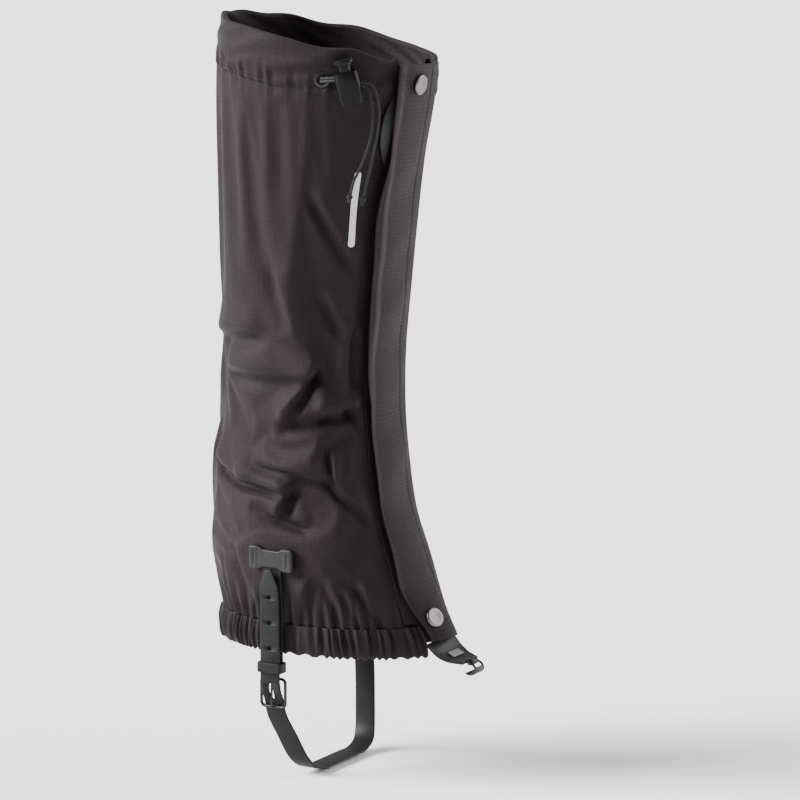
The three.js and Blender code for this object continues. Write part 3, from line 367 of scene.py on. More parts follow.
def joined(name, objects):
    """One object from several, which are removed."""
    work = bmesh.new()
    for o in objects:
        work.from_mesh(o.data)
    data = bpy.data.meshes.new(name)
    work.to_mesh(data)
    work.free()
    for o in objects:
        bpy.data.meshes.remove(o.data)
    obj = bpy.data.objects.new(name, data)
    bpy.context.scene.collection.objects.link(obj)
    return obj


def with_modifier(obj, kind, **settings):
    """Adds a modifier and applies it to the mesh."""
    modifier = obj.modifiers.new(kind.lower(), kind)
    for key, value in settings.items():
        setattr(modifier, key, value)
    graph = bpy.context.evaluated_depsgraph_get()
    data = bpy.data.meshes.new_from_object(obj.evaluated_get(graph), depsgraph=graph)
    obj.modifiers.clear()
    obj.data = data


STITCH_RADIUS = 0.26
STITCH_SINK = 0.08
STITCH_AROUND = 6
# rings of one stitch: share of its half-length, share of its radius, rise
STITCH_RINGS = np.array(
    [[-1, 0.15, -0.9], [-0.8, 0.75, -0.35], [0, 1, 0.2], [0.8, 0.75, -0.35], [1, 0.15, -0.9]])
STITCH_CAPS = np.array([[3, 2, 1, 0], [5, 4, 3, 0], [24, 25, 26, 27], [24, 27, 28, 29]])


def stitches(name, line, normal, pitch=2.6, length=1.9):
    """Stitches along a line: each is a short capsule that dips at its ends."""
    total = np.linalg.norm(np.diff(line, axis=0), axis=1).sum()
    count = max(2, int(total / pitch))
    spots = resample(line, count * 2 + 1)
    share, given = np.linspace(0, 1, len(spots)), np.linspace(0, 1, len(normal))
    outs = unit(np.stack([np.interp(share, given, normal[:, k]) for k in range(3)], -1))
    centre, out = spots[1::2], outs[1::2]
    along = unit(spots[2::2] - spots[:-1:2])
    side = np.cross(along, out)
    around = np.linspace(0, 2 * np.pi, STITCH_AROUND, endpoint=False)
    rings = len(STITCH_RINGS)
    r, a = STITCH_RINGS[:, None], around[None, :]
    local_along = np.broadcast_to(r[..., 0] * length / 2, (rings, STITCH_AROUND))
    local_side = r[..., 1] * STITCH_RADIUS * np.cos(a)
    local_out = r[..., 1] * STITCH_RADIUS * np.sin(a) + r[..., 2] * STITCH_RADIUS * 0.8 - STITCH_SINK
    points = (centre[:, None, None] + along[:, None, None] * local_along[..., None]
              + side[:, None, None] * local_side[..., None] + out[:, None, None] * local_out[..., None])
    one = np.concatenate([quads(rings, STITCH_AROUND, close_columns=True), STITCH_CAPS])
    first = np.arange(len(centre))[:, None, None] * rings * STITCH_AROUND
    every = (one[None] + first).reshape(-1, 4)
    return mesh_from(name, points, every)


# ---- finishes ------------------------------------------------------------------------------------
class Wire:
    """An output socket; arithmetic on it adds Math nodes to its finish."""

    def __init__(self, finish, socket):
        self.finish, self.socket = finish, socket

    def maths(self, operation, a, b):
        return self.finish.add("ShaderNodeMath", {"operation": operation}, a, b)

    def __add__(self, other):
        return self.maths("ADD", self, other)

    def __sub__(self, other):
        return self.maths("SUBTRACT", self, other)

    def __mul__(self, other):
        return self.maths("MULTIPLY", self, other)


class Finish:
    """A material with one Principled BSDF."""

    def __init__(self, name, **constants):
        self.material = bpy.data.materials.new(name)
        self.material.use_nodes = True
        self.tree = self.material.node_tree
        self.surface = self.tree.nodes["Principled BSDF"]
        for key, value in constants.items():
            self.surface.inputs[key.replace("_", " ")].default_value = value

    def add(self, kind, settings, *ordered, out=0, **named):
        """One node of any kind: its settings, then its sockets in order or by name."""
        node = self.tree.nodes.new(kind)
        for key, value in settings.items():
            if key == "stops":
                ramp = node.color_ramp
                while len(ramp.elements) < len(value):
                    ramp.elements.new(0.5)
                for element, (position, colour) in zip(ramp.elements, value):
                    element.position = position
                    element.color = colour
            else:
                setattr(node, key, value)
        sockets = list(zip(node.inputs, ordered))
        sockets += [(node.inputs[key.replace("_", " ")], value) for key, value in named.items()]
        for socket, value in sockets:
            if isinstance(value, Wire):
                self.tree.links.new(value.socket, socket)
            elif value is not None:
                socket.default_value = value
        return Wire(self, node.outputs[out])

    def place(self, uv=False):
        return self.add("ShaderNodeTexCoord", {}, out="UV" if uv else "Object")

    def scaled(self, where, scale, turn=0.0):
        scale = (scale,) * 3 if np.isscalar(scale) else scale
        return self.add("ShaderNodeMapping", {}, where, Scale=scale, Rotation=(0, 0, turn))

    def noise(self, where, scale, detail=3.0, roughness=0.55):
        return self.add("ShaderNodeTexNoise", {}, where, None, scale, detail, roughness)

    def waves(self, where, scale, direction):
        return self.add("ShaderNodeTexWave", {"bands_direction": direction}, where, scale)

    def ramp(self, value, *stops):
        return self.add("ShaderNodeValToRGB", {"stops": [(p, (v, v, v, 1)) for p, v in stops]}, value)

    def mix(self, factor, a, b):
        node = self.tree.nodes.new("ShaderNodeMix")
        node.data_type = "RGBA"
        for key, value in ((0, factor), (6, a), (7, b)):
            if isinstance(value, Wire):
                self.tree.links.new(value.socket, node.inputs[key])
            else:
                node.inputs[key].default_value = value
        return Wire(self, node.outputs[2])

    def bump(self, height, distance, strength=1.0, normal=None):
        sizes = {"Distance": distance, "Strength": strength}
        return self.add("ShaderNodeBump", {}, Height=height, Normal=normal, **sizes)

    def feed(self, **links):
        for key, value in links.items():
            self.tree.links.new(value.socket, self.surface.inputs[key.replace("_", " ")])
        return self.material


def grey(value, tint=(1, 1, 1)):
    """Colour of one brightness, with a tint."""
    return (value * tint[0], value * tint[1], value * tint[2], 1)


BROWN_BLACK = (1.0, 0.66, 0.8)
PALE_SHEEN = (0.9, 0.85, 0.88, 1)
WEAVE_SCALE = 900.0
RIPSTOP_SCALE = 104.7  # a raised thread every 3 mm


def ripstop(name, shade, sheen=0.025, weave=1.0):
    """Plain weave with a raised thread every 3 mm both ways, softly mottled, a little shiny on threads."""
    f = Finish(name, Sheen_Weight=sheen, Sheen_Roughness=0.45, Specular_IOR_Level=0.09)
    f.surface.inputs["Sheen Tint"].default_value = PALE_SHEEN
    uv = f.place(uv=True)
    warp = f.waves(uv, WEAVE_SCALE, "X")
    weft = f.waves(uv, WEAVE_SCALE, "Y")
    cross_a = f.ramp(f.waves(uv, RIPSTOP_SCALE, "X"), (0.0, 0), (0.93, 0), (0.98, 1))
    cross_b = f.ramp(f.waves(uv, RIPSTOP_SCALE, "Y"), (0.0, 0), (0.93, 0), (0.98, 1))
    raised = cross_a + cross_b
    mottle = f.noise(f.place(), 26.0, 5.0, 0.6)
    streak = f.noise(f.scaled(uv, (60, 900, 1)), 1.0, 3.0, 0.6)
    tone = f.ramp(mottle * 0.6 + streak * 0.4, (0.3, 0.25), (0.7, 0.85))
    cloth = f.mix(tone, grey(shade * 0.78, BROWN_BLACK), grey(shade * 1.18, BROWN_BLACK))
    cloth = f.mix(raised * 0.22, cloth, grey(shade * 1.5, BROWN_BLACK))
    rough = f.ramp(mottle, (0.3, 0.56), (0.7, 0.7)) - raised * 0.08
    height = (warp + weft) * 0.35 * weave + raised * 0.5 + streak * 0.5
    wrinkle = f.noise(f.place(), 90.0, 4.0, 0.6)
    first = f.bump(wrinkle, 0.0012, 0.35)
    return f.feed(Base_Color=cloth, Roughness=rough, Normal=f.bump(height, 0.00012, 0.8, first))


def webbing(name, shade, pitch, rough=0.85):
    """Tightly ribbed tape."""
    f = Finish(name, Sheen_Weight=0.02, Sheen_Roughness=0.5, Specular_IOR_Level=0.1)
    where = f.place()
    ribs = f.waves(where, 314.2 / pitch, "Z")
    fuzz = f.noise(where, 900.0, 4.0, 0.7)
    cloth = f.mix(fuzz, grey(shade * 0.7), grey(shade * 1.4))
    height = ribs * 0.6 + fuzz * 0.6
    roughness = f.ramp(fuzz, (0.2, rough - 0.1), (0.8, min(1, rough + 0.1)))
    return f.feed(Base_Color=cloth, Roughness=roughness, Normal=f.bump(height, 0.0003, 0.8))


def moulded(name, shade, rough, tint=(1, 1, 1), grain=700.0, depth=0.00008, spread=0.12, level=0.4):
    """Moulded rubber or coated cloth: fine pebble grain, scuffed and dusty in places."""
    f = Finish(name, Specular_IOR_Level=level)
    where = f.place()
    pebble = f.noise(where, grain, 3.0, 0.6)
    scuff = f.noise(where, 55.0, 6.0, 0.65)
    wear = f.ramp(scuff, (0.42, 0), (0.75, 1))
    colour = f.mix(wear, grey(shade, tint), grey(shade * 1.7, tint))
    roughness = f.ramp(scuff, (0.3, rough - spread / 2), (0.7, rough + spread / 2))
    return f.feed(Base_Color=colour, Roughness=roughness, Normal=f.bump(pebble, depth, 0.6))


def metal(name, colour, rough):
    """Plated metal with fine scratches and a few dull patches."""
    f = Finish(name, Metallic=1.0)
    where = f.place()
    patches = f.noise(where, 160.0, 5.0, 0.6)
    lines = f.noise(f.scaled(where, (200, 200, 4000)), 1.0, 2.0, 0.5)
    shade = f.mix(patches, (*[c * 0.8 for c in colour], 1), (*colour, 1))
    roughness = f.ramp(patches, (0.3, rough - 0.06), (0.7, rough + 0.1))
    return f.feed(Base_Color=shade, Roughness=roughness, Normal=f.bump(lines, 0.00002, 0.4))


def braid(name, shade):
    """Braided cord: crossing diagonal strands on its own length and round."""
    f = Finish(name, Sheen_Weight=0.03, Specular_IOR_Level=0.2)
    uv = f.place(uv=True)
    a = f.waves(f.scaled(uv, 1.0, math.radians(38)), 260.0, "X")
    b = f.waves(f.scaled(uv, 1.0, math.radians(-38)), 260.0, "X")
    strands = f.add("ShaderNodeMath", {"operation": "MAXIMUM"}, a, b)
    fuzz = f.noise(f.place(), 1500.0, 3.0, 0.6)
    colour = f.mix(strands * fuzz, grey(shade * 0.5), grey(shade * 2.4))
    roughness = f.ramp(fuzz, (0.2, 0.55), (0.8, 0.75))
    return f.feed(Base_Color=colour, Roughness=roughness, Normal=f.bump(strands, 0.0003, 0.7))


def printed(name, colour):
    """Reflective transfer: matt white with a fine bead grain."""
    f = Finish(name, Specular_IOR_Level=0.3)
    where = f.place()
    beads = f.noise(where, 2500.0, 2.0, 0.5)
    worn = f.ramp(f.noise(where, 200.0, 5.0, 0.7), (0.3, 0), (0.45, 1))
    shade = f.mix(worn, grey(colour * 0.82), grey(colour))
    return f.feed(Base_Color=shade, Roughness=f.ramp(beads, (0.2, 0.45), (0.8, 0.6)),
                  Normal=f.bump(beads, 0.00005, 0.5))


LOOKS = {
    "shell_fabric": ripstop("ripstop_nylon", 0.0115),
    # the flap is the shell's ripstop painted about a third lighter: painted light standing in for the front
    # fill that falls on it
    "flap_fabric_painted_lighter": ripstop("flap_nylon_painted_lighter", 0.0155),
    "seam_fabric": ripstop("seam_nylon", 0.011, 0.02),
    "lining": ripstop("coated_inside", 0.006, 0.01, 0.3),
    "hook_tape": webbing("hook_tape", 0.006, 1.2),
    "loop_tape": webbing("loop_tape", 0.007, 0.8, 0.95),
    "rubber_strap": moulded("strap_rubber", 0.0085, 0.5, level=0.12),
    "tab_rubber": moulded("coated_tab", 0.015, 0.45, level=0.15),
    "elastic": webbing("elastic", 0.016, 1.0),
    "black_plastic": moulded("gloss_plastic", 0.0022, 0.22, (1, 1, 1), 900.0, 0.00002, 0.08, level=0.11),
    "snap_metal": metal("snap_nickel", (0.16, 0.152, 0.146), 0.3),
    "bright_metal": metal("bright_steel", (0.40, 0.40, 0.41), 0.24),
    "dark_metal": metal("blackened_steel", (0.035, 0.035, 0.037), 0.32),
    "drawcord": braid("drawcord_braid", 0.011),
    "label": printed("label_weave", 0.2),
    "mark": printed("reflective_print", 0.5),
    "thread": moulded("sewing_thread", 0.015, 0.6, BROWN_BLACK, 2500.0, 0.00003, level=0.1),
}


def finish_piece(obj, body, look, nodes=()):
    """Gives a piece its finish and the body that it rides on, and hides the CAD nodes that it replaces."""
    obj.data.materials.clear()
    obj.data.materials.append(LOOKS[look])
    if body:
        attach(obj, body)
    if nodes:
        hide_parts(*nodes)
    return obj


def keep_node(name, look):
    """A CAD node whose shape is right keeps it, and gets its finish in every material slot."""
    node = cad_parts[name]
    for slot in node.material_slots:
        slot.material = LOOKS[look]
    return node


# ---- frames of the fittings, as the CAD has them -------------------------------------------------
TUNNEL_OUT = 1.0
LOCK_LEVEL = 395
LOCK_WIDTH = 17
LOCK_DEPTH = 12
LOCK_LEAN = math.radians(12)
LOCK_STAND = 1.9
CORD_UP = 4
CORD_SPREAD = 1.1
CORD_D = 1.9
EYELET_TURN = 17 / 70
UP = np.array([0.0, 0.0, 1.0])


def tube_frame(t, n, offset):
    """Point, along, up and out directions on the tube."""
    p = shell(t, n, offset)
    out = unit(shell(t, n, offset + 1) - p)
    along = shell(t + 0.02, n, offset) - shell(t - 0.02, n, offset)
    along = unit(along - out * (along @ out))
    return p, along, np.cross(along, out), out


LOCK_ANGLE = float(angle_at(-55.5, LOCK_LEVEL))
lock_base = tube_frame(LOCK_ANGLE, LOCK_LEVEL, TUNNEL_OUT)
lock_out = unit(lock_base[3] * (1, 1, 0))
side_flat = np.cross(UP, lock_out)
lock_up = math.cos(LOCK_LEAN) * UP + math.sin(LOCK_LEAN) * side_flat
lock_side = np.cross(lock_up, lock_out)
lock_centre = lock_base[0] + lock_out * (LOCK_DEPTH / 2 + LOCK_STAND) + lock_up * 2
EYELET_ANGLE = LOCK_ANGLE + EYELET_TURN
eyelet = tube_frame(EYELET_ANGLE, LOCK_LEVEL + 3, TUNNEL_OUT)


def in_lock(side, out, up):
    """Point in the cord lock's own directions."""
    return lock_centre + lock_side * side + lock_out * out + lock_up * up


def in_eyelet(along, up, out):
    """Point in the eyelet's own directions."""
    return eyelet[0] + eyelet[1] * along + eyelet[2] * up + eyelet[3] * out


# ---- drawcord: the two free tails and the strands between eyelet and lock ------------------------
TAILS = {
    "long": [(0, 0, 0), (1.2, 0, 0), (3.8, 0.6, 2), (6.4, 0.8, 7), (8.2, 0.3, 15), (8.6, -1.0, 24),
             (7.8, -2.4, 34), (5.6, -3.4, 46), (3.2, -4.0, 58), (0.8, -4.2, 68), (-1.4, -4.2, 78)],
    "short": [(0, 0, 0), (1.0, 0, 0), (2.4, -0.2, 2.6), (3.4, -0.6, 8), (4.6, -1.6, 16), (5.0, -2.6, 26),
              (3.8, -3.5, 36), (0.9, -4.4, 46), (-3.4, -5.0, 57), (-7.6, -5.2, 66), (-9.6, -5.2, 74)],
}
KNOT_STEP = 2.6
GAP = 0.35
TAIL_POINTS = 34


KNOT_POINTS = 120
KNOT_AROUND = 10
KNOT_CORD_R = 0.85


def knot(name, centre, direction):
    """Overhand knot: a trefoil winding of cord about the tail's end, with a short frayed end below."""
    a = np.linspace(0, 2 * np.pi, KNOT_POINTS, endpoint=False)
    side = unit(np.cross(direction, (0.2, 0.9, 0.1)))
    out = np.cross(side, direction)
    radius = 0.95 + 0.42 * np.cos(3 * a)
    line = (centre + side * (radius * np.cos(2 * a))[:, None] + out * (radius * np.sin(2 * a))[:, None]
            + direction * (0.75 * np.sin(3 * a))[:, None])
    around = np.linspace(0, 2 * np.pi, KNOT_AROUND, endpoint=False)[:, None]
    forward = loop_forward(line)
    flat = unit(np.cross(forward, direction + 1e-3))
    third = np.cross(flat, forward)
    ring = line[:, None] + (flat[:, None] * np.cos(around) + third[:, None] * np.sin(around)) * KNOT_CORD_R
    faces = quads(KNOT_POINTS, KNOT_AROUND, close_rows=True, close_columns=True)
    loop = outward(mesh_from(name + "_loop", ring, faces))
    end = [centre, centre + direction * 2.2, centre + direction * 4.0]
    stub = tube(name + "_stub", end, CORD_D / 2, 12, KNOT_AROUND)
    return joined(name, [loop, stub])


def make_tails():
    """Tails hang from the lock's far side: offsets forwards, outwards and down from its cord hole."""
    forward = np.cross(UP, lock_out)
    forward = forward if forward[1] < 0 else -forward
    for name, offsets in TAILS.items():
        spread = CORD_SPREAD if name == "long" else -CORD_SPREAD
        start = in_lock(LOCK_WIDTH / 2 + 1.6 + GAP, 0, CORD_UP + spread)
        route = np.array([start + forward * f + lock_out * o - UP * d for f, o, d in offsets])
        line = spline(route, TAIL_POINTS)
        data = bpy.data.curves.new("drawcord_tail_" + name, "CURVE")
        data.dimensions = "3D"
        data.bevel_depth = CORD_D / 2 * MM
        data.bevel_resolution = 3
        data.use_fill_caps = True
        bend = data.splines.new("POLY")
        bend.points.add(TAIL_POINTS - 1)
        bend.points.foreach_set("co", np.hstack([line * MM, np.ones((TAIL_POINTS, 1))]).ravel())
        cord = bpy.data.objects.new("free_cord_" + name, data)
        bpy.context.scene.collection.objects.link(cord)
        finish_piece(cord, "shell", "drawcord", ["drawcord_tail_" + name])
        down = unit(route[-1] - route[-2])
        tie = knot("cord_end_knot_" + name, route[-1] + down * KNOT_STEP, down)
        finish_piece(tie, "shell", "drawcord", ["cord_knot_" + name])


def make_strands():
    """The strands come out of the eyelet one above the other and cross the lock, low in its slot."""
    for name, spread in (("long", CORD_SPREAD), ("short", -CORD_SPREAD)):
        up = CORD_UP + spread * 0.9 - 0.45
        turn = 0.09 if name == "long" else -0.09
        line = [shell(EYELET_ANGLE + turn * 2, LOCK_LEVEL + 3, TUNNEL_OUT - 2.8),
                shell(EYELET_ANGLE + turn, LOCK_LEVEL + 3, TUNNEL_OUT - 2.8),
                in_eyelet(0, spread, -1.4), in_eyelet(0, spread, 0.4), in_eyelet(0, spread, 2.6),
                in_lock(-LOCK_WIDTH / 2 - 2.4, 0, up), in_lock(-LOCK_WIDTH / 4, 0, up),
                in_lock(LOCK_WIDTH / 4, 0, up), in_lock(LOCK_WIDTH / 2 + 1.6, 0, CORD_UP + spread)]
        strand = tube("drawcord_strand_" + name, line, CORD_D / 2, 120, 12)
        finish_piece(strand, "shell", "drawcord", ["drawcord_" + name])


make_tails()
make_strands()

# ---- cloth shell ---------------------------------------------------------------------------------
PLACKET_LATERAL = -26
PLACKET_MEDIAL = 12
PANEL_BOTTOM = 20.8
TUNNEL_HEIGHT = 32
TUNNEL_BOTTOM = FULL_HEIGHT - TUNNEL_HEIGHT
LATERAL_FROM = PLACKET_LATERAL - GAP - 0.2
MEDIAL_FROM = PLACKET_MEDIAL + GAP + 0.2
MM_PER_DEGREE = 1.15
MM_PER_RADIAN = 66

# Creases: (angle, level) at each end in degrees and millimetres, then the height of the ridge, the
# depth of the valley below or beside it, and the width of the fold.
CREASES = [
    ((134, 192), (66, 200), 3.2, 3.0, 9),
    ((68, 201), (90, 167), 3.4, 3.4, 7),
    ((92, 166), (60, 171), 2.4, 3.6, 8),
    ((64, 172), (30, 176), 3.0, 3.2, 8),
    ((40, 178), (25, 158), 2.0, 2.4, 7),
    ((146, 128), (116, 119), 3.0, 3.2, 8),
    ((118, 120), (88, 117), 3.6, 3.4, 7),
    ((104, 134), (57, 126), 3.4, 2.6, 8),
    ((57, 142), (56, 124), 2.2, 2.6, 5),
    ((90, 116), (95, 99), 2.8, 3.4, 6),
    ((96, 98), (78, 93), 1.8, 2.6, 6),
    ((30, 99), (56, 122), 2.2, 2.4, 8),
    ((150, 212), (106, 222), 2.4, 3.0, 9),
    ((82, 230), (90, 262), 1.6, 1.6, 9),
    ((66, 318), (41, 276), 2.0, 2.2, 8),
    ((57, 250), (42, 226), 2.4, 2.0, 9),
    ((43, 226), (45, 192), 2.6, 2.2, 9),
    ((100, 300), (88, 240), 1.3, 1.2, 12),
    ((120, 70), (108, 34), 1.4, 1.6, 6),
    ((80, 54), (86, 26), 2.0, 2.0, 5),
    ((69, 52), (62, 24), 2.2, 2.0, 5),
    ((50, 50), (43, 28), 2.0, 1.8, 5),
    ((60, 46), (54, 24), 1.6, 1.8, 4),
    ((132, 60), (128, 26), 1.6, 1.6, 6),
    ((185, 208), (232, 216), 3.0, 3.0, 9),
    ((176, 150), (214, 158), 3.2, 3.0, 8),
    ((228, 178), (270, 168), 3.0, 3.0, 8),
    ((262, 205), (304, 196), 2.8, 2.8, 9),
    ((200, 118), (250, 126), 3.2, 3.2, 8),
    ((272, 130), (312, 122), 2.8, 2.8, 8),
    ((240, 250), (250, 300), 1.8, 1.6, 10),
    ((290, 260), (302, 230), 2.0, 2.0, 9),
    ((208, 300), (214, 250), 1.4, 1.4, 11),
    ((196, 60), (204, 28), 1.8, 1.8, 6),
    ((226, 56), (222, 26), 1.8, 1.8, 5),
    ((252, 58), (258, 26), 2.0, 1.8, 5),
    ((284, 54), (278, 26), 1.8, 1.8, 5),
    ((308, 50), (314, 26), 1.6, 1.6, 5),
]
CREASE_GAIN = 1.7
PLATE_LATERAL_ANGLE = 96
PLATE_MEDIAL_ANGLE = 266
PLATE_LEVEL = 66


def ripple(seed, t, n, waves, low, high, across=1.0):
    """Sum of seeded sine waves over angle and level, each of unit height, averaged."""
    rng = np.random.default_rng(seed)
    total = np.zeros(np.broadcast(t, n).shape)
    for _ in range(waves):
        a = rng.uniform(low, high)
        b = rng.uniform(low, high) * across
        total = total + np.sin(a * t + b * n / 60 + rng.uniform(0, 2 * np.pi)) * rng.uniform(0.5, 1)
    return total / waves


def seam_pucker(t):
    """Puckers that the seam of the folded top draws into the cloth above and below it."""
    return np.sin(44 * t + 2.2 * np.sin(7 * t)) * 0.55 + np.sin(73 * t + 1.0) * 0.25


def folds(t, n):
    """Outward move of the cloth, in millimetres: named creases, gathers above the hem, soft ripples."""
    degrees = np.degrees(t)
    s = degrees * MM_PER_DEGREE
    move = np.zeros(np.broadcast(t, n).shape)
    bend = 3.0 * ripple(3, t, n, 5, 1, 4)
    for (t0, n0), (t1, n1), ridge, valley, width in CREASES:
        ax, ay, bx, by = t0 * MM_PER_DEGREE, n0, t1 * MM_PER_DEGREE, n1
        dx, dy = bx - ax, by - ay
        length = math.hypot(dx, dy)
        along = ((s - ax) * dx + (n - ay) * dy) / length
        away = ((s - ax) * -dy + (n - ay) * dx) / length + bend * 0.6
        away = away if dx > 0 or abs(dx) < 1e-6 else -away
        taper = smooth(-width * 1.2, width * 0.8, along)
        taper = taper * (1 - smooth(length - width * 0.8, length + width * 1.2, along))
        crest = np.exp(-(np.where(away > 0, away / (1.5 * width), away / (0.45 * width)) ** 2))
        trough = np.exp(-(((away + 0.85 * width) / (0.55 * width)) ** 2))
        move = move + taper * (ridge * crest - valley * trough)
    calm = smooth(215, 300, n)
    move = move + (1 - calm) * 1.1 * ripple(11, t, n, 9, 3, 10, 0.7)
    move = move + calm * 1.4 * ripple(12, t, n, 7, 2, 5, 0.5)
    gather = np.sin(58 * t + 1.6 * np.sin(5 * t) + 1.1 * np.sin(13 * t))
    near_hem = 1 - smooth(22, 58, n)
    move = move * (1 - 0.6 * near_hem) + near_hem**2 * 1.5 * gather
    return move + 0.45 * smooth(372, 387, n) * seam_pucker(t)


def still(t, n):
    """1 where the cloth is free, falling to 0 at the placket and under the strap plates."""
    x, _ = section(t, n)
    degrees = np.degrees(t)
    free = smooth(24, 33, np.where(np.cos(t) > 0, np.abs(x + 4), 99))
    for centre in (PLATE_LATERAL_ANGLE, PLATE_MEDIAL_ANGLE):
        away = np.hypot((degrees - centre) / 20, (n - PLATE_LEVEL) / 16)
        free = free * smooth(0.75, 1.5, away)
    return free


def cloth_offset(t, n):
    """Offset of the cloth's outer face from the tube: the folds, held back where it is sewn down."""
    return SINK + CREASE_GAIN * folds(t, n) * still(t, n) * smooth(PANEL_BOTTOM - 8, PANEL_BOTTOM + 6, n)


CLOTH = 0.6
SINK = -0.25
SIM_ROWS = 150
SIM_COLUMNS = 164
SIM_FRAMES = 16
SIM_REACH = 10.0
SIM_SCALE = 5.0
SIM_GRAVITY = 0.25
SIM_SETTINGS = {
    "quality": 6,
    "mass": 0.15,
    "tension_stiffness": 40,
    "compression_stiffness": 40,
    "shear_stiffness": 12,
    "bending_stiffness": 2.6,
    "air_damping": 3,
    "use_pressure": True,
    "uniform_pressure_force": 0.5,
}
HELD_STEPS = 10
SPARE_UP = 0.06
SPARE_ROUND = 0.004
FINE_ROWS = 4
FINE_COLUMNS = 3


def cloth_grid(rows, columns):
    """Angles and levels of the whole shell, from the lateral edge of the placket round to the medial one."""
    n = np.linspace(PANEL_BOTTOM - 0.6, TUNNEL_BOTTOM + 1.2, rows)[:, None]
    start, stop = angle_at(LATERAL_FROM, n), 2 * np.pi + angle_at(MEDIAL_FROM, n)
    return start + (stop - start) * np.linspace(0, 1, columns)[None, :], n


def held_weight(t, n):
    """1 where the cloth is sewn or riveted down, 0 where it can move."""
    rim = 1 - smooth(0, 9, n - PANEL_BOTTOM) * smooth(0, 14, TUNNEL_BOTTOM - n)
    side = 1 - smooth(4, 16, shell_reach(t, n))
    plates = np.zeros(np.broadcast(t, n).shape)
    for centre in (PLATE_LATERAL_ANGLE, PLATE_MEDIAL_ANGLE):
        away = np.hypot((np.degrees(t) - centre) / 19, (n - PLATE_LEVEL) / 13)
        below = np.hypot((np.degrees(t) - centre) / 10, np.maximum(0, np.abs(n - 34) - 26) / 8)
        plates = np.maximum(plates, 1 - smooth(0.9, 1.5, away))
        plates = np.maximum(plates, 1 - smooth(0.9, 1.6, below))
    return np.clip(np.maximum(np.maximum(rim, side), plates), 0, 1)


def shell_reach(t, n):
    """Distance round the tube, in millimetres, to the nearer edge of the placket."""
    start, stop = angle_at(LATERAL_FROM, n), 2 * np.pi + angle_at(MEDIAL_FROM, n)
    return np.minimum(t - start, stop - t) * MM_PER_RADIAN


def settle(start, rest, weight):
    """Cloth simulation: the cloth starts at one grid of points, its threads are as long as in the rest
    grid, and it buckles where the two differ. Returns the settled grid."""
    rows, columns = start.shape[:2]
    obj = mesh_from("settling_cloth", start, quads(rows, columns))
    obj.shape_key_add(name="Basis")
    key = obj.shape_key_add(name="rest")
    key.data.foreach_set("co", (rest.reshape(-1, 3) * MM * SIM_SCALE).ravel())
    laid = (start.reshape(-1, 3) * MM * SIM_SCALE).ravel()
    obj.data.vertices.foreach_set("co", laid)
    obj.data.shape_keys.key_blocks[0].data.foreach_set("co", laid)
    group = obj.vertex_groups.new(name="held")
    for k in range(1, HELD_STEPS + 1):
        members = np.nonzero(np.round(weight.ravel() * HELD_STEPS) == k)[0]
        if len(members):
            group.add(members.tolist(), k / HELD_STEPS, "REPLACE")
    cloth = obj.modifiers.new("cloth", "CLOTH")
    cloth.settings.vertex_group_mass = "held"
    cloth.settings.rest_shape_key = key
    for key_name, value in SIM_SETTINGS.items():
        setattr(cloth.settings, key_name, value)
    cloth.settings.effector_weights.gravity = SIM_GRAVITY
    cloth.collision_settings.use_collision = False
    cloth.point_cache.frame_start = 1
    cloth.point_cache.frame_end = SIM_FRAMES
    scene = bpy.context.scene
    for frame_number in range(1, SIM_FRAMES + 1):
        scene.frame_set(frame_number)
    graph = bpy.context.evaluated_depsgraph_get()
    data = obj.evaluated_get(graph).to_mesh()
    found = np.empty(rows * columns * 3)
    data.vertices.foreach_get("co", found)
    scene.frame_set(1)
    bpy.data.objects.remove(obj)
    return found.reshape(rows, columns, 3) / (MM * SIM_SCALE)


def finer(grid, times, axis):
    """Catmull-Rom samples between the points of a grid, along one axis."""
    grid = np.moveaxis(grid, axis, 0)
    padded = np.concatenate([2 * grid[:1] - grid[1:2], grid, 2 * grid[-1:] - grid[-2:-1]])
    where = np.linspace(0, len(grid) - 1, (len(grid) - 1) * times + 1)
    k = np.minimum(where.astype(int), len(grid) - 2)
    u = (where - k).reshape((-1,) + (1,) * (grid.ndim - 1))
    a, b, c, d = (padded[k + step] for step in range(4))
    square, cube = 2 * a - 5 * b + 4 * c - d, 3 * b - a - 3 * c + d
    made = 0.5 * (2 * b + (c - a) * u + square * u**2 + cube * u**3)
    return np.moveaxis(made, 0, axis)


def softened(grid):
    """Each inner point moved half-way to the mean of its four neighbours."""
    mean = (grid[:-2, 1:-1] + grid[2:, 1:-1] + grid[1:-1, :-2] + grid[1:-1, 2:]) / 4
    grid = grid.copy()
    grid[1:-1, 1:-1] = (grid[1:-1, 1:-1] + mean) / 2
    return grid


def grid_normals(points):
    """Outward normals of a grid of points."""
    normal = unit(np.cross(np.gradient(points, axis=1), np.gradient(points, axis=0)))
    outwards = points - points.mean((0, 1)) * (1, 1, 0) - points * (0, 0, 1)
    return normal * np.sign((normal * outwards).sum(-1).mean())


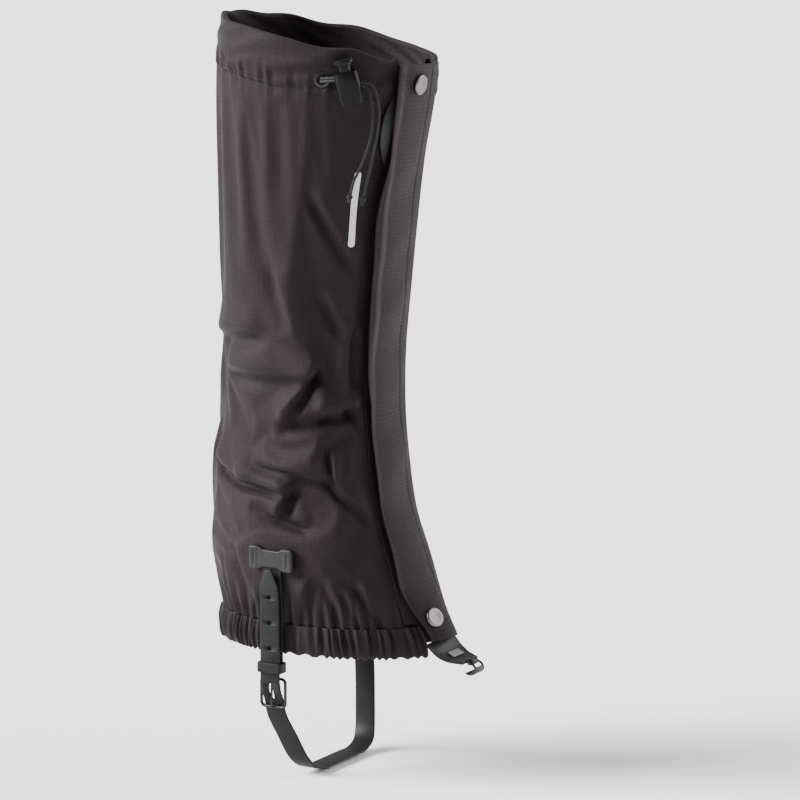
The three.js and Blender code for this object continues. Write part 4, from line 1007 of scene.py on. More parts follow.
def settled_shell():
    """The shell's outer face: named creases first, then the simulation lets the spare cloth buckle
    round them."""
    t, n = cloth_grid(SIM_ROWS, SIM_COLUMNS)
    weight = held_weight(t, n)
    start = shell(t, n, cloth_offset(t, n))
    plain = shell(t, n, SINK)
    rise = np.linalg.norm(np.diff(plain, axis=0), axis=-1)
    zone = smooth(24, 70, n) * (1 - smooth(215, 330, n))
    stretch = 1 + SPARE_UP * (zone[1:] + zone[:-1]) / 2 + 0.003
    extra = np.concatenate([np.zeros((1, SIM_COLUMNS)), np.cumsum(rise * (stretch - 1), axis=0)])
    rest = plain * (1 + SPARE_ROUND * zone[..., None] * np.array([1, 1, 0]))
    rest[..., 2] += extra
    moved = settle(start, rest, weight) - start
    far = np.linalg.norm(moved, axis=-1, keepdims=True)
    moved = moved * np.minimum(1, SIM_REACH / np.maximum(far, 1e-6))
    start = start + moved * (1 - weight[..., None])
    start = softened(start)
    every = [start] + [np.broadcast_to(a, start.shape[:2])[..., None] for a in (t, n)]
    fine, t_fine, n_fine = (finer(finer(grid, FINE_ROWS, 0), FINE_COLUMNS, 1) for grid in every)
    return fine, t_fine[..., 0], n_fine[..., 0]


shell_cloth, shell_t, shell_n = settled_shell()
shell_normal = grid_normals(shell_cloth)


def cloth_at(t, n):
    """Point and normal of the settled cloth at an angle and level, from the nearest grid lines, bilinear."""
    rows, columns = shell_cloth.shape[:2]
    share = (np.asarray(n, float) - shell_n[0, 0]) / (shell_n[-1, 0] - shell_n[0, 0])
    r = np.clip(share * (rows - 1), 0, rows - 1.001)
    start, stop = angle_at(LATERAL_FROM, n), 2 * np.pi + angle_at(MEDIAL_FROM, n)
    c = np.clip((np.asarray(t, float) - start) / (stop - start) * (columns - 1), 0, columns - 1.001)
    r, c = np.broadcast_arrays(r, c)
    i, j = r.astype(int), c.astype(int)
    u, v = (r - i)[..., None], (c - j)[..., None]

    def read(grid):
        return ((grid[i, j] * (1 - u) + grid[i + 1, j] * u) * (1 - v)
                + (grid[i, j + 1] * (1 - u) + grid[i + 1, j + 1] * u) * v)

    return read(shell_cloth), unit(read(shell_normal))


def cloth_size(points):
    """Mean length of the rows and of the columns of a grid of points."""
    return (float(np.linalg.norm(np.diff(points, axis=1), axis=-1).sum(1).mean()) * MM,
            float(np.linalg.norm(np.diff(points, axis=0), axis=-1).sum(0).mean()) * MM)


def make_panels():
    """Lateral and medial panels meet at the back seam."""
    seam = int(np.argmin(np.abs(shell_t[0] - np.pi)))
    uv = np.stack([np.degrees(shell_t) * MM_PER_DEGREE, shell_n], -1)
    inner = shell_cloth - shell_normal * CLOTH
    for side, part in (("lateral", slice(0, seam + 1)), ("medial", slice(seam, None))):
        outer = shell_cloth[:, part]
        obj = slab("cloth_panel_" + side, outer, inner[:, part], uv[:, part])
        finish_piece(obj, "shell", "shell_fabric", [side + "_panel"])


make_panels()

# ---- back seam -----------------------------------------------------------------------------------
def make_back_seam():
    """Two rows of stitches, one each side of the seam."""
    n = np.linspace(PANEL_BOTTOM + 2, TUNNEL_BOTTOM - 2, 400)
    rows = []
    for side in (-1, 1):
        line, normal = cloth_at(np.pi + side * 2.2 / 75 + 0 * n, n)
        rows.append(stitches(f"back_stitch_{side}", line, normal))
    obj = joined("back_seam_stitches", rows)
    finish_piece(obj, "shell", "thread")


make_back_seam()

# ---- folded top with the drawcord's channel ------------------------------------------------------
BAND_COLUMNS = 520


def band_angles(x_lateral, x_medial, n, columns):
    """Angles of a band from one x round the back to another, both at its front ends."""
    share = np.linspace(0, 1, columns)[None, :]
    start = angle_at(x_lateral, n)
    stop = 2 * np.pi + angle_at(x_medial, n)
    return start + (stop - start) * share


def u_fold(n, depth, t, offset, wall, uv_scale=1.0):
    """Cloth folded in a U: its outer face runs up one side, over the fold and back down, and the inner face
    lies one cloth thickness inside it, along the profile's own normal."""
    run = np.gradient(n, axis=0)
    fall = np.gradient(depth, axis=0)
    size = np.hypot(run, fall) + 1e-9
    side_n, side_out = fall / size, -run / size
    outer = shell(t, n + offset[0], depth + offset[1])
    inner = shell(t, n + offset[0] + side_n * wall, depth + offset[1] + side_out * wall)
    travelled = np.cumsum(size, axis=0)
    uv = np.stack(np.broadcast_arrays(np.degrees(t) * MM_PER_DEGREE * uv_scale, travelled), -1)
    return outer, inner, uv


def make_tunnel():
    """Closed band: up the outside, over the fold and down the lining; its puckers fade upwards."""
    up = np.linspace(0, 1, 40)
    over = np.linspace(0, np.pi, 14)[1:-1]
    low, high, depth = TUNNEL_BOTTOM - 0.6, 417.4, 4.4
    half = depth / 2
    fold = high + 2.2 * np.sin(over)
    n = np.concatenate([low + (high - low) * up, fold, high - (high - low) * up])[:, None]
    out = np.concatenate([np.zeros(40), -half + half * np.cos(over), np.full(40, -depth)])[:, None]
    face = np.concatenate([np.ones(40), np.linspace(1, 0.2, 12), np.full(40, 0.2)])[:, None]
    t = band_angles(LATERAL_FROM, MEDIAL_FROM, n, BAND_COLUMNS)
    height = (n - low) / (high - low)
    swell = 1.3 * np.sin(np.pi * np.clip(height, 0, 1)) ** 0.8
    soft = 1.7 * ripple(21, t, n, 8, 3, 12, 3.0) + 0.9 * ripple(23, t, n, 6, 10, 22, 2.0)
    wave = 6.0 * ripple(22, t, 0 * n, 7, 3, 14)
    lock = np.exp(-(((t - LOCK_ANGLE + 0.12) / 0.13) ** 2))
    tuck = -1.6 * np.exp(-(((t - LOCK_ANGLE + 0.30) / 0.05) ** 2)) * (1 - height) * face
    pucker = seam_pucker(t) * (1 - smooth(0.1, 0.55, height)) * 1.1
    moved = pucker + swell * face + soft - 0.8 * lock + tuck
    quiet = smooth(0.0, 0.08, t - angle_at(LATERAL_FROM, n))
    quiet = quiet * smooth(0.0, 0.08, 2 * np.pi + angle_at(MEDIAL_FROM, n) - t)
    lift = 0.35 + moved * quiet
    outer, inner, uv = u_fold(n, out, t, (wave * smooth(0.4, 1, height) * quiet, lift), CLOTH)
    obj = slab("folded_top", outer, inner, uv)
    finish_piece(obj, "shell", "shell_fabric", ["drawcord_tunnel"])
    ring = int(np.argmin(np.abs(n[:40, 0] - (low + 2.4))))
    normal = shell(t[ring], n[ring], 1.0) - shell(t[ring], n[ring], 0.0)
    seam = stitches("folded_top_stitches", outer[ring] + normal * 0.12, normal)
    finish_piece(seam, "shell", "thread")


make_tunnel()


# ---- gathered hem over its elastic ---------------------------------------------------------------
HEM_COLUMNS = 900
HEM_END = -17.4


def make_hem():
    """U-fold like the top, open upwards: the elastic draws it into narrow flutes."""
    down = np.linspace(1, 0, 28)
    under = np.linspace(0, np.pi, 10)[1:-1]
    low, high, depth = 1.8, 20.8, 3.4
    half = depth / 2
    fold = low - 1.5 * np.sin(under)
    n = np.concatenate([low + (high - low) * down, fold, low + (high - low) * (1 - down)])[:, None]
    out = np.concatenate([np.zeros(28), -half + half * np.cos(under), np.full(28, -depth)])[:, None]
    t = band_angles(HEM_END, 20, n, HEM_COLUMNS)
    height = np.clip((n - low) / (high - low), 0, 1)
    phase = 78 * t + 2.6 * np.sin(6 * t) + 1.7 * np.sin(15 * t + 0.7)
    drift = 0.65 + 0.45 * np.sin(9 * t + 1.0) * np.sin(21 * t)
    slant = 1.1 * (1 - height) * np.sin(11 * t + 2.0)
    flute = drift * np.sin(phase + slant) + 0.35 * np.sin(1.63 * phase + 1.1) + 0.55 * np.sin(27 * t + 0.6)
    swell = 0.65 + 0.35 * np.sin(np.pi * height)
    belly = 1.6 * np.sin(np.pi * height) ** 0.7
    degrees = np.degrees(t)
    plates = (PLATE_LATERAL_ANGLE, PLATE_MEDIAL_ANGLE)
    beside = sum(np.exp(-(((degrees - centre) / 9.5) ** 4)) for centre in plates)
    lift = 0.1 + (1.5 * flute * swell + belly) * np.clip(1 - beside, 0.08, 1) - 0.4 * beside
    wave = 0.9 * np.sin(phase + 0.6) * (1 - height) ** 2
    outer, inner, uv = u_fold(n, out, t, (wave, lift), CLOTH, 1.3)
    obj = slab("gathered_hem", outer, inner, uv)
    finish_piece(obj, "shell", "shell_fabric", ["hem_casing", "hem_elastic"])
    ring = 2
    normal = shell(t[ring], n[ring], 1.0) - shell(t[ring], n[ring], 0.0)
    seam = stitches("gathered_hem_stitches", outer[ring] + normal * 0.1, normal, 2.2, 1.6)
    finish_piece(seam, "shell", "thread")


make_hem()

# ---- front flap ----------------------------------------------------------------------------------
FLAP_ROOT_TOP = 20.4
FLAP_ROOT_LOW = 21.3
FLAP_EDGE_TOP = -30
FLAP_EDGE_LOW = -25
FLAP_OFFSET = 2.7
FLAP_THICK = 1.2
FLAP_LIFT = 4.2
FLAP_EDGE_CUT = 10
FLAP_WAVES = [(300, 42, -3.6), (232, 26, -2.2), (150, 26, 2.2), (96, 26, 2.4), (352, 16, 1.6),
              (190, 12, -1.0)]
FLAP_BOTTOM = 10
FLAP_TOP = 417
FLAP_JOIN = 165
TAPE_EDGE = -21
TAPE_HINGE = 5
TAPE_LOW = 42
TAPE_HIGH = 380
FLAP_COLUMNS = 90
SEAM_SHARE = 0.235
RIM_SHARE = 0.955


def flap_edge(n):
    """Line of the flap's free edge: cut back at its foot, with soft waves."""
    edge = FLAP_EDGE_LOW + (FLAP_EDGE_TOP - FLAP_EDGE_LOW) * smooth(40, 260, n)
    edge = edge + FLAP_EDGE_CUT * (1 - smooth(8, 54, n))
    for middle, half_length, shift in FLAP_WAVES:
        edge = edge + shift * np.exp(-(((n - middle) / half_length) ** 2))
    return edge


def flap_lift(x):
    """The flap stands off the shell past the edge of its tape."""
    return FLAP_LIFT * (1 - smooth(FLAP_EDGE_TOP, TAPE_EDGE + 1, x))


def flap_root(n):
    """Line that the flap turns on, where its cloth comes out of the seam."""
    return FLAP_ROOT_TOP + (FLAP_ROOT_LOW - FLAP_ROOT_TOP) * (1 - smooth(60, FLAP_JOIN, n))


def flap_surface(share, n):
    """Flap's outer face: from the hinge seam at share 0 to the free edge at share 1."""
    root = flap_root(n)
    x = root + (flap_edge(n) - root) * share
    quiet = smooth(0.0, 0.35, share)
    sway = 1.9 * ripple(31, n / 40 + 0 * share, 60 * share, 6, 1.0, 5.0, 0.8) * quiet
    x = x + 1.3 * ripple(32, n / 38 + 0 * share, 0 * n, 5, 0.7, 3.0) * smooth(0.6, 1.0, share)
    rim = 0.35 * np.exp(-(((share - SEAM_SHARE) / 0.02) ** 2))
    rim = rim + 0.3 * np.exp(-(((share - RIM_SHARE) / 0.012) ** 2))
    swell = 0.35 * np.sin(np.pi * np.clip((share - 0.25) / 0.7, 0, 1))
    offset = FLAP_OFFSET + FLAP_THICK + flap_lift(x) + sway + swell - rim
    return x, offset


def flap_part(name, low, high, rows):
    """Slab of the flap between two levels, and its outer face."""
    n = np.linspace(low, high, rows)[:, None]
    share = np.linspace(0, 1, FLAP_COLUMNS)[None, :]
    x, offset = flap_surface(share, n)
    t = angle_at(x, n)
    edge = 0.45 * (np.exp(-share / 0.012) + np.exp(-(1 - share) / 0.012))
    outer = shell(t, n, offset - edge)
    inner = shell(t, n, offset - FLAP_THICK + 0.15 + edge * 0.5)
    uv = np.stack(np.broadcast_arrays(x, n), -1)
    return slab(name, outer, inner, uv), outer


def flap_seam(share, n):
    """Points and normals of a line on the flap's outer face."""
    x, offset = flap_surface(share, n)
    t = angle_at(x, n)
    return shell(t, n, offset + 0.1), shell(t, n, offset + 1) - shell(t, n, offset)


FACING_WIDTH = 2.6
FACING_THICK = 0.5


def flap_facing(half, low, high):
    """Narrow strip from the seam to the flap's root: one edge stays on the shell, the other turns."""
    n = np.linspace(low, high, 160)[:, None]
    run = np.linspace(0, 1, 9)[None, :]
    t = angle_at(flap_root(n) + 0.6 - FACING_WIDTH * run, n)
    offset = 0.1 + 2.0 * run
    uv = np.stack(np.broadcast_arrays(run * 3, n), -1)
    half_thick = FACING_THICK / 2
    obj = slab("flap_facing_" + half, shell(t, n, offset + half_thick), shell(t, n, offset - half_thick), uv)
    finish_piece(obj, None, "seam_fabric")
    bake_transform(obj)
    return obj


def make_flap():
    """Two halves that meet where the flap stays shut."""
    halves = {
        "top": (FLAP_JOIN, FLAP_TOP, 300, ["front_flap_upper", "front_flap_middle"], (165, 250)),
        "bottom": (FLAP_BOTTOM, FLAP_JOIN, 190, ["front_flap_lower"], (165, 92)),
    }
    for half, (low, high, rows, nodes, turn) in halves.items():
        obj, outer = flap_part("front_flap_" + half, low, high, rows)
        # the flap's finish is the shell ripstop painted lighter, as painted light
        finish_piece(obj, None, "flap_fabric_painted_lighter", nodes)
        first = low + (5 if half == "bottom" else 0.2)
        last = high - (5 if half == "top" else 0.2)
        across = 20.0 if half == "bottom" else 409.0
        down = np.linspace(first, last, 500)
        seams = [(np.full(500, share), down) for share in (SEAM_SHARE, RIM_SHARE)]
        seams.append((np.linspace(0.02, 0.95, 120), np.full(120, across)))
        lines = [stitches("flap_line", *flap_seam(share, n)) for share, n in seams]
        thread = joined("front_flap_stitches_" + half, lines)
        finish_piece(thread, None, "thread")
        tape_low, tape_high = max(low, TAPE_LOW), min(high, TAPE_HIGH)
        n = np.linspace(tape_low, tape_high, 160)[:, None]
        x = np.linspace(TAPE_HINGE, TAPE_EDGE, 24)[None, :]
        t = angle_at(x, n)
        tape = slab("loop_tape_" + half, shell(t, n, FLAP_OFFSET - 0.3), shell(t, n, 1.5),
                    np.stack(np.broadcast_arrays(x, n), -1))
        finish_piece(tape, None, "loop_tape",
                     ["loop_tape_upper", "loop_tape_middle"] if half == "top" else ["loop_tape_lower"])
        start, end = (shell(0.0, float(k), 0.0) * MM for k in turn)
        for piece in (obj, thread, tape):
            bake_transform(piece)
        facing = flap_facing(half, max(low, 14), min(high, 412))


make_flap()


PIPING_OUT = 0.5


def make_seam_piping():
    """Rolled seam that the flap turns on: a half-round cord of cloth from hem to rim."""
    n = np.linspace(FLAP_BOTTOM + 2, 386, 260)
    t = angle_at(flap_root(n) - 0.6, n)
    path = shell(t, n, PIPING_OUT)
    out = unit(shell(t, n, PIPING_OUT + 1) - path)
    side = unit(np.cross(np.gradient(path, axis=0), out))
    obj = swept("flap_seam_piping", path, side, out, circle(1.0, 16) * (1.2, 1.2))
    finish_piece(obj, "shell", "seam_fabric", ["flap_fold"])


make_seam_piping()


def strip(name, across, levels, depths, look, nodes, rows=160, columns=16, cut=None):
    """Flat strip on the front of the tube between two lines of equal x; cut is a line it keeps behind."""
    (x_from, x_to), (low, high), (out_low, out_high) = across, levels, depths
    n = np.linspace(low, high, rows)[:, None]
    x = x_from + (x_to - x_from) * np.linspace(0, 1, columns)[None, :] + 0 * n
    if cut is not None:
        x = np.maximum(x, cut(n))
    t = angle_at(x, n)
    uv = np.stack([x, n + 0 * x], -1)
    outer = shell(t, n, out_high)
    obj = slab(name, outer, shell(t, n, out_low), uv)
    finish_piece(obj, "shell", look, nodes)
    return obj, cloth_size(outer)


def above_hem(n):
    """Line that the placket keeps to: beside the hem's end below, its own edge above."""
    return HEM_END + 0.8 + (PLACKET_LATERAL - HEM_END - 0.8) * smooth(21.4, 23.4, n)


def make_placket():
    """Placket behind the flap, the tuck that closes its foot, the hook tape sewn to it, and the tape over
    the back seam inside."""
    obj, size = strip("placket_cloth", (PLACKET_MEDIAL, PLACKET_LATERAL), (FLAP_BOTTOM, 415.6), (-0.9, -0.1),
                      "shell_fabric", ["front_placket"], 400, 40, above_hem)
    tuck, _ = strip("placket_tuck", (-12, -36), (12, 38), (-2.5, -1.9), "shell_fabric", [], 30, 20)
    obj, size = strip("hook_tape_sewn", (TAPE_HINGE, TAPE_EDGE), (TAPE_LOW, TAPE_HIGH), (0.2, 1.0),
                      "hook_tape", ["hook_tape"])
    n = np.linspace(PANEL_BOTTOM + 1, TUNNEL_BOTTOM - 1, 200)[:, None]
    t = np.pi + np.linspace(-5.5, 5.5, 12)[None, :] / MM_PER_RADIAN + 0 * n
    where, normal = cloth_at(t, n)
    outer = where - normal * (CLOTH + 0.15)
    uv = np.stack([(t - np.pi) * MM_PER_RADIAN, n + 0 * t], -1)
    obj = slab("back_seam_binding", outer, outer - normal * 0.5, uv)
    finish_piece(obj, "shell", "lining", ["back_seam_tape"])


make_placket()


LEAF_LOW = 344
LEAF_HIGH = 394


def make_binding_leaf():
    """Bound edge of the placket that shows under the flap's free edge: narrow, bellied in the middle."""
    n = np.linspace(LEAF_LOW, LEAF_HIGH, 70)[:, None]
    share = np.linspace(0, 1, 14)[None, :]
    along = (n - LEAF_LOW) / (LEAF_HIGH - LEAF_LOW)
    belly = np.sin(np.pi * along) ** 0.8
    reach = FLAP_EDGE_TOP + 2 - 7.5 * belly * share
    lift = 3.0 * belly * (1 - 0.5 * share) + 1.0
    t = angle_at(reach, n)
    outer = shell(t, n, lift + 0.5)
    obj = slab("placket_edge_binding", outer, shell(t, n, lift), np.stack([reach, n + 0 * reach], -1))
    finish_piece(obj, "shell", "tab_rubber")


make_binding_leaf()


# ---- generic reflective strip --------------------------------------------------------------------
MARK_LOW = 286
MARK_HIGH = 338
MARK_HALF = 2.6
MARK_ANGLE = 44.5
MARK_SLANT = 4


def make_mark():
    """One plain reflective bar with round ends, printed on the cloth."""
    n = np.linspace(MARK_LOW, MARK_HIGH, 90)[:, None]
    length = MARK_HIGH - MARK_LOW
    end = np.clip((np.abs(n - (MARK_LOW + MARK_HIGH) / 2) - (length / 2 - MARK_HALF)) / MARK_HALF, 0, 1)
    half = MARK_HALF * np.sqrt(1 - end**2) + 0.02
    t = np.radians(MARK_ANGLE - MARK_SLANT * (n - MARK_LOW) / length)
    t = t + np.linspace(-1, 1, 14)[None, :] * half / MM_PER_RADIAN
    where, normal = cloth_at(t, n)
    bar = slab("reflective_bar", where + normal * 0.18, where + normal * 0.02)
    finish_piece(bar, "shell", "mark")


make_mark()


# ---- snaps ---------------------------------------------------------------------------------------
SNAP_X = -8
FLAP_FACE = FLAP_OFFSET + FLAP_THICK


def level_of_z(x, z):
    """Level of the point at x on the front of the tube whose height is z."""
    n = float(z)
    for _ in range(8):
        n += z - float(shell(angle_at(x, n), n, 0)[2])
    return n


def make_snaps():
    """Caps are spun metal with a rolled rim and a shallow dished middle; the rest stays as in the CAD."""
    cap = [(0, 1.55), (2.0, 1.62), (4.2, 1.9), (5.4, 2.1), (6.2, 2.0), (6.8, 1.55), (7.0, 1.0), (6.9, 0.4),
           (6.5, 0.05), (5.6, 0.0), (0, 0.0)]
    for where, z in (("top", 395), ("bottom", 24)):
        n = level_of_z(SNAP_X, z)
        centre, along, up, out = tube_frame(float(angle_at(SNAP_X, n)), n, 0.0)
        centre = centre + out * (FLAP_FACE + 2 * GAP)
        piece = turned("snap_cap_" + where + "_spun", (centre, along, up, out), cap, 56)
        finish_piece(piece, "flap_" + where, "snap_metal", ["snap_cap_" + where])
        for part in ("socket", "stud", "post"):
            keep_node(f"snap_{part}_{where}", "snap_metal")


make_snaps()

# ---- cord lock and eyelet ------------------------------------------------------------------------
for node_name, look in (("tunnel_eyelet", "dark_metal"), ("cord_lock_barrel", "black_plastic"),
                        ("cord_lock_plunger", "black_plastic")):
    keep_node(node_name, look)
SPRING_R = 2.8
SPRING_TURNS = 3
SPRING_LOW = -7.3
SPRING_HIGH = -2.7


def make_spring():
    """Coil under the plunger."""
    turn = np.linspace(0, 2 * np.pi * SPRING_TURNS, 90)
    rise = SPRING_LOW + (SPRING_HIGH - SPRING_LOW) * turn / turn[-1]
    line = [in_lock(SPRING_R * math.cos(a), SPRING_R * math.sin(a), z) for a, z in zip(turn, rise)]
    spring = tube("lock_spring_coil", line, 0.3, 200, 8)
    finish_piece(spring, "shell", "bright_metal", ["cord_lock_spring"])
    tuple(in_lock(0, 0, SPRING_LOW - 0.3) * MM)
    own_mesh(spring)


make_spring()

# ---- strap plates --------------------------------------------------------------------------------
PLATE_LENGTH = 35
PLATE_HEIGHT = 16
PLATE_WAIST = 12
PLATE_THICK = 1.8
PLATE_Z = PLATE_LEVEL
PLATE_Y = 9
STRAP_WIDTH = 15
STRAP_THICK = 1.8
PLATE_OFFSET = STRAP_THICK + 2 * GAP


def plate_frame(side):
    """Point, along, up and out directions of a strap plate, upright on the side of the tube."""
    sign = 1 if side == "lateral" else -1
    y = PLATE_Y if side == "lateral" else PLATE_Y - 4
    t = sign * (math.pi / 2 + math.asin(y / float(curve(BACK, PLATE_Z))))
    p, _, _, out = tube_frame(t, PLATE_Z, 0)
    out = unit(out * (1, 1, 0))
    return p, np.cross(UP, out), UP, out


PLATES = {side: plate_frame(side) for side in ("lateral", "medial")}


def make_plate(side):
    """Dog-bone plate: its half-height narrows to a waist, and the rim is rounded like a pillow edge."""
    p, along, _, out = PLATES[side]
    u = np.linspace(-1, 1, 120)
    half = PLATE_LENGTH / 2
    corner = np.clip((np.abs(u) * half - (half - 2)) / 2, 0, 1)
    height = PLATE_WAIST / 2 + (PLATE_HEIGHT - PLATE_WAIST) / 2 * smooth(0.30, 0.62, np.abs(u))
    height = height - 2 * (1 - np.sqrt(np.maximum(0, 1 - corner**2)))
    v = np.linspace(-1, 1, 48)
    rim_u = 1 - np.clip((np.abs(u) * half - (half - 1.1)) / 1.1, 0, 1) ** 2
    rim_v = 1 - np.clip((np.abs(v)[None, :] * height[:, None] - (height[:, None] - 1.1)) / 1.1, 0, 1) ** 2
    dome = np.sqrt(np.clip(rim_u[:, None] * rim_v, 0, 1))
    groove = np.exp(-(((np.abs(u) * half - 13.5) / 0.5) ** 2))[:, None]
    groove = groove * (np.abs(v)[None, :] * height[:, None] < 5)
    lip = 0.25 * smooth(0.60, 0.66, np.abs(u))[:, None]
    top = PLATE_OFFSET + 0.7 + (PLATE_THICK - 0.7) * dome - 0.55 * groove - 0.25 + lip
    foot = np.where(np.abs(u) * half > 10.5, GAP, PLATE_OFFSET)[:, None]
    base = foot + 0 * v[None, :]
    x, y = (u * half)[:, None], v[None, :] * height[:, None]

    def lay(depth):
        return p + along * x[..., None] + UP * y[..., None] + out * depth[..., None]

    obj = slab("strap_plate_" + side + "_moulded", lay(top), lay(base), np.stack([x + 0 * y, y], -1))
    finish_piece(obj, "shell", "tab_rubber", ["strap_plate_" + side])
    keep_node("plate_backing_" + side, "tab_rubber")


make_plate("lateral")
make_plate("medial")

# ---- straps --------------------------------------------------------------------------------------
BUCKLE_Z = -18
BUCKLE_HEIGHT = 20
BUCKLE_WIDTH = 21
BUCKLE_WIRE = 2.2
SOLE_Z = -84
hem_x = -float(curve(SIDE, 10)) * math.sqrt(1 - (PLATE_Y / float(curve(BACK, 10))) ** 2)
BAR_X = hem_x - 1.6 - STRAP_THICK / 2 - 0.4
FREE_X = BAR_X - 4.4


def from_plate(side, out_by, z):
    """Point on the middle line of a strap, at its distance out from the plate's foot."""
    p, _, _, out = PLATES[side]
    q = p + out * out_by
    return np.array([q[0], q[1], z])


def strap_sides(path):
    """Sideways direction of the straps: along the plate beside them, turning to straight back lower down."""
    lateral = PLATES["lateral"][1]
    medial = -PLATES["medial"][1]
    beside = np.where(path[:, :1] < 0, lateral, medial)
    straight = np.array([0.0, 1.0, 0.0]) * np.sign(beside[:, 1:2])
    share = smooth(PLATE_Z - 40, PLATE_Z - 14, path[:, 2:3])
    side = beside * share + straight * (1 - share)
    forward = unit(np.gradient(path, axis=0))
    side = unit(side - forward * (side * forward).sum(1, keepdims=True))
    return side, np.cross(side, forward)


def strap(name, points, count, tip=None):
    """Flat strap along a curve; tip says how fast it widens from its rounded end."""
    path = spline(points, count)
    side, out = strap_sides(path)
    run = np.linspace(0, 1, count)
    scale = np.ones((count, 2))
    if tip is not None:
        scale[:, 0] = np.minimum(1, 0.35 + run * tip)
    return swept(name, path, side, out, rounded_bar(STRAP_WIDTH, STRAP_THICK, 0.6), scale=scale)


def punched(obj, drills):
    """Cuts round or slotted holes through a piece."""
    for drill in drills:
        with_modifier(obj, "BOOLEAN", object=drill, operation="DIFFERENCE", solver="EXACT")
        bpy.data.objects.remove(drill)


def hole_drill(centre, half_height=1.6, half_width=1.6, half_length=7):
    """Oval pin along x."""
    a = np.linspace(0, 2 * np.pi, 20, endpoint=False)
    profile = np.stack([half_width * np.cos(a), half_height * np.sin(a)], -1)
    path = np.array([centre + np.array([-half_length, 0, 0]), centre + np.array([half_length, 0, 0])], float)
    return swept("drill", path, np.array([0.0, 1.0, 0.0]), UP, profile)


def make_straps():
    """Standing strap from plate to buckle, and the long strap under the foot, with its punched holes."""
    y = PLATES["lateral"][0][1]
    inner = GAP + STRAP_THICK / 2
    top = PLATE_Z + PLATE_WAIST / 2 - 1
    standing = strap("buckle_strap_band", [
        from_plate("lateral", inner, top), from_plate("lateral", inner, PLATE_Z),
        from_plate("lateral", inner + 0.1, PLATE_Z - 10), (BAR_X - 0.6, y, 44), (BAR_X, y, 30),
        (BAR_X, y, 24),
        (BAR_X, y, 0), (BAR_X, y, BUCKLE_Z + 6), (BAR_X, y, BUCKLE_Z + 4.2)], 90)
    finish_piece(standing, "shell", "rubber_strap", ["buckle_strap"])
    over = PLATE_OFFSET + PLATE_THICK + 0.5 + STRAP_THICK / 2
    bottom = BUCKLE_Z - BUCKLE_HEIGHT
    behind = BAR_X + BUCKLE_WIRE / 2 + GAP + STRAP_THICK / 2
    medial_y = PLATES["medial"][0][1]
    sole = [(x, -8, SOLE_Z - STRAP_THICK / 2) for x in (-28, -18, -9, 0, 9, 18, 28)]

    def side_x(level_n):
        return float(curve(SIDE, level_n))

    long = strap("instep_strap_band", [
        from_plate("lateral", over, PLATE_Z - 7), from_plate("lateral", over, PLATE_Z - 14),
        (FREE_X - 0.6, y, 40), (FREE_X, y, 28), (FREE_X, y, 20), (FREE_X, y, 0),
        (FREE_X, y, BUCKLE_Z + 4), (FREE_X, y, BUCKLE_Z - 2),
        (BAR_X - 2.4, y, BUCKLE_Z - 9), (behind - 0.6, y, bottom + 3.4), (behind + 0.2, y, bottom - 1),
        (behind + 1.6, y - 1.4, bottom - 8), (-50, 3, -58), (-46, -4, -74), (-40, -7, -81),
        *sole, (40, -7, -81),
        (46, -5, -74), (50, -3, -58), (54.5, 0, -30), (side_x(5) + 2.9, medial_y - 1, -4),
        (side_x(14) + 3.0, medial_y, 14), (side_x(30) + 2.4, medial_y, 32),
        from_plate("medial", inner + 0.5, PLATE_Z - 14), from_plate("medial", inner, PLATE_Z - 4),
        from_plate("medial", inner, top)], 420, 22)
    punched(long, [hole_drill(np.array([BAR_X - 4, y, z])) for z in (40, 22, 4)]
            + [hole_drill(np.array([BAR_X - 2.4, y, BUCKLE_Z - 8.6]), 6.4, 2.0, 4.5)])
    finish_piece(long, "shell", "rubber_strap", ["instep_strap"])


make_straps()


def make_buckle():
    """Frame of bent wire with round corners; the prong's ring sits on its top bar."""
    y = PLATES["lateral"][0][1]
    w = BUCKLE_WIDTH / 2 - BUCKLE_WIRE / 2
    h = BUCKLE_HEIGHT
    r = 3.0
    a = np.linspace(0, np.pi / 2, 8)
    loop = []
    for cy, cz, start in ((w - r, -r, 0), (-w + r, -r, 90), (-w + r, -h + r, 180), (w - r, -h + r, 270)):
        b = a + math.radians(start)
        loop.append(np.stack([cy + r * np.cos(b), cz + r * np.sin(b)], -1))
    loop = np.concatenate(loop)
    loop = np.concatenate([loop, loop[:1]])
    path = np.stack([np.full(len(loop), BAR_X), y + loop[:, 0], BUCKLE_Z + loop[:, 1]], -1)
    path = resample(path, 121)[:-1]
    out = np.broadcast_to(np.array([1.0, 0.0, 0.0]), path.shape)
    forward = loop_forward(path)
    wire = circle(BUCKLE_WIRE / 2, 14)
    frame_obj = swept("buckle_frame_wire", path, np.cross(forward, out), out, wire, closed=True)
    finish_piece(frame_obj, "shell", "dark_metal", ["buckle_frame"])
    keep_node("buckle_prong", "dark_metal")


make_buckle()


def make_keeper():
    """Flat band round the two layers of strap, with rounded edges."""
    y = PLATES["lateral"][0][1]
    inside, outside = BAR_X + STRAP_THICK / 2 + 0.6, FREE_X - STRAP_THICK / 2 - 0.6
    half = STRAP_WIDTH / 2 + 0.6
    middle = (inside + outside) / 2
    bar = rounded_bar(inside - outside + 1.4, 2 * half + 1.4, 1.6, 8)
    path = np.stack([middle + bar[:, 0], y + bar[:, 1], np.full(len(bar), BUCKLE_Z + 6 + 2.5)], -1)
    forward = loop_forward(path)
    up = np.broadcast_to(UP, path.shape)
    obj = swept("strap_keeper_band", path, up, np.cross(up, forward), rounded_bar(7, 1.3, 0.5), closed=True)
    finish_piece(obj, "keeper", "rubber_strap", ["strap_keeper"])


make_keeper()

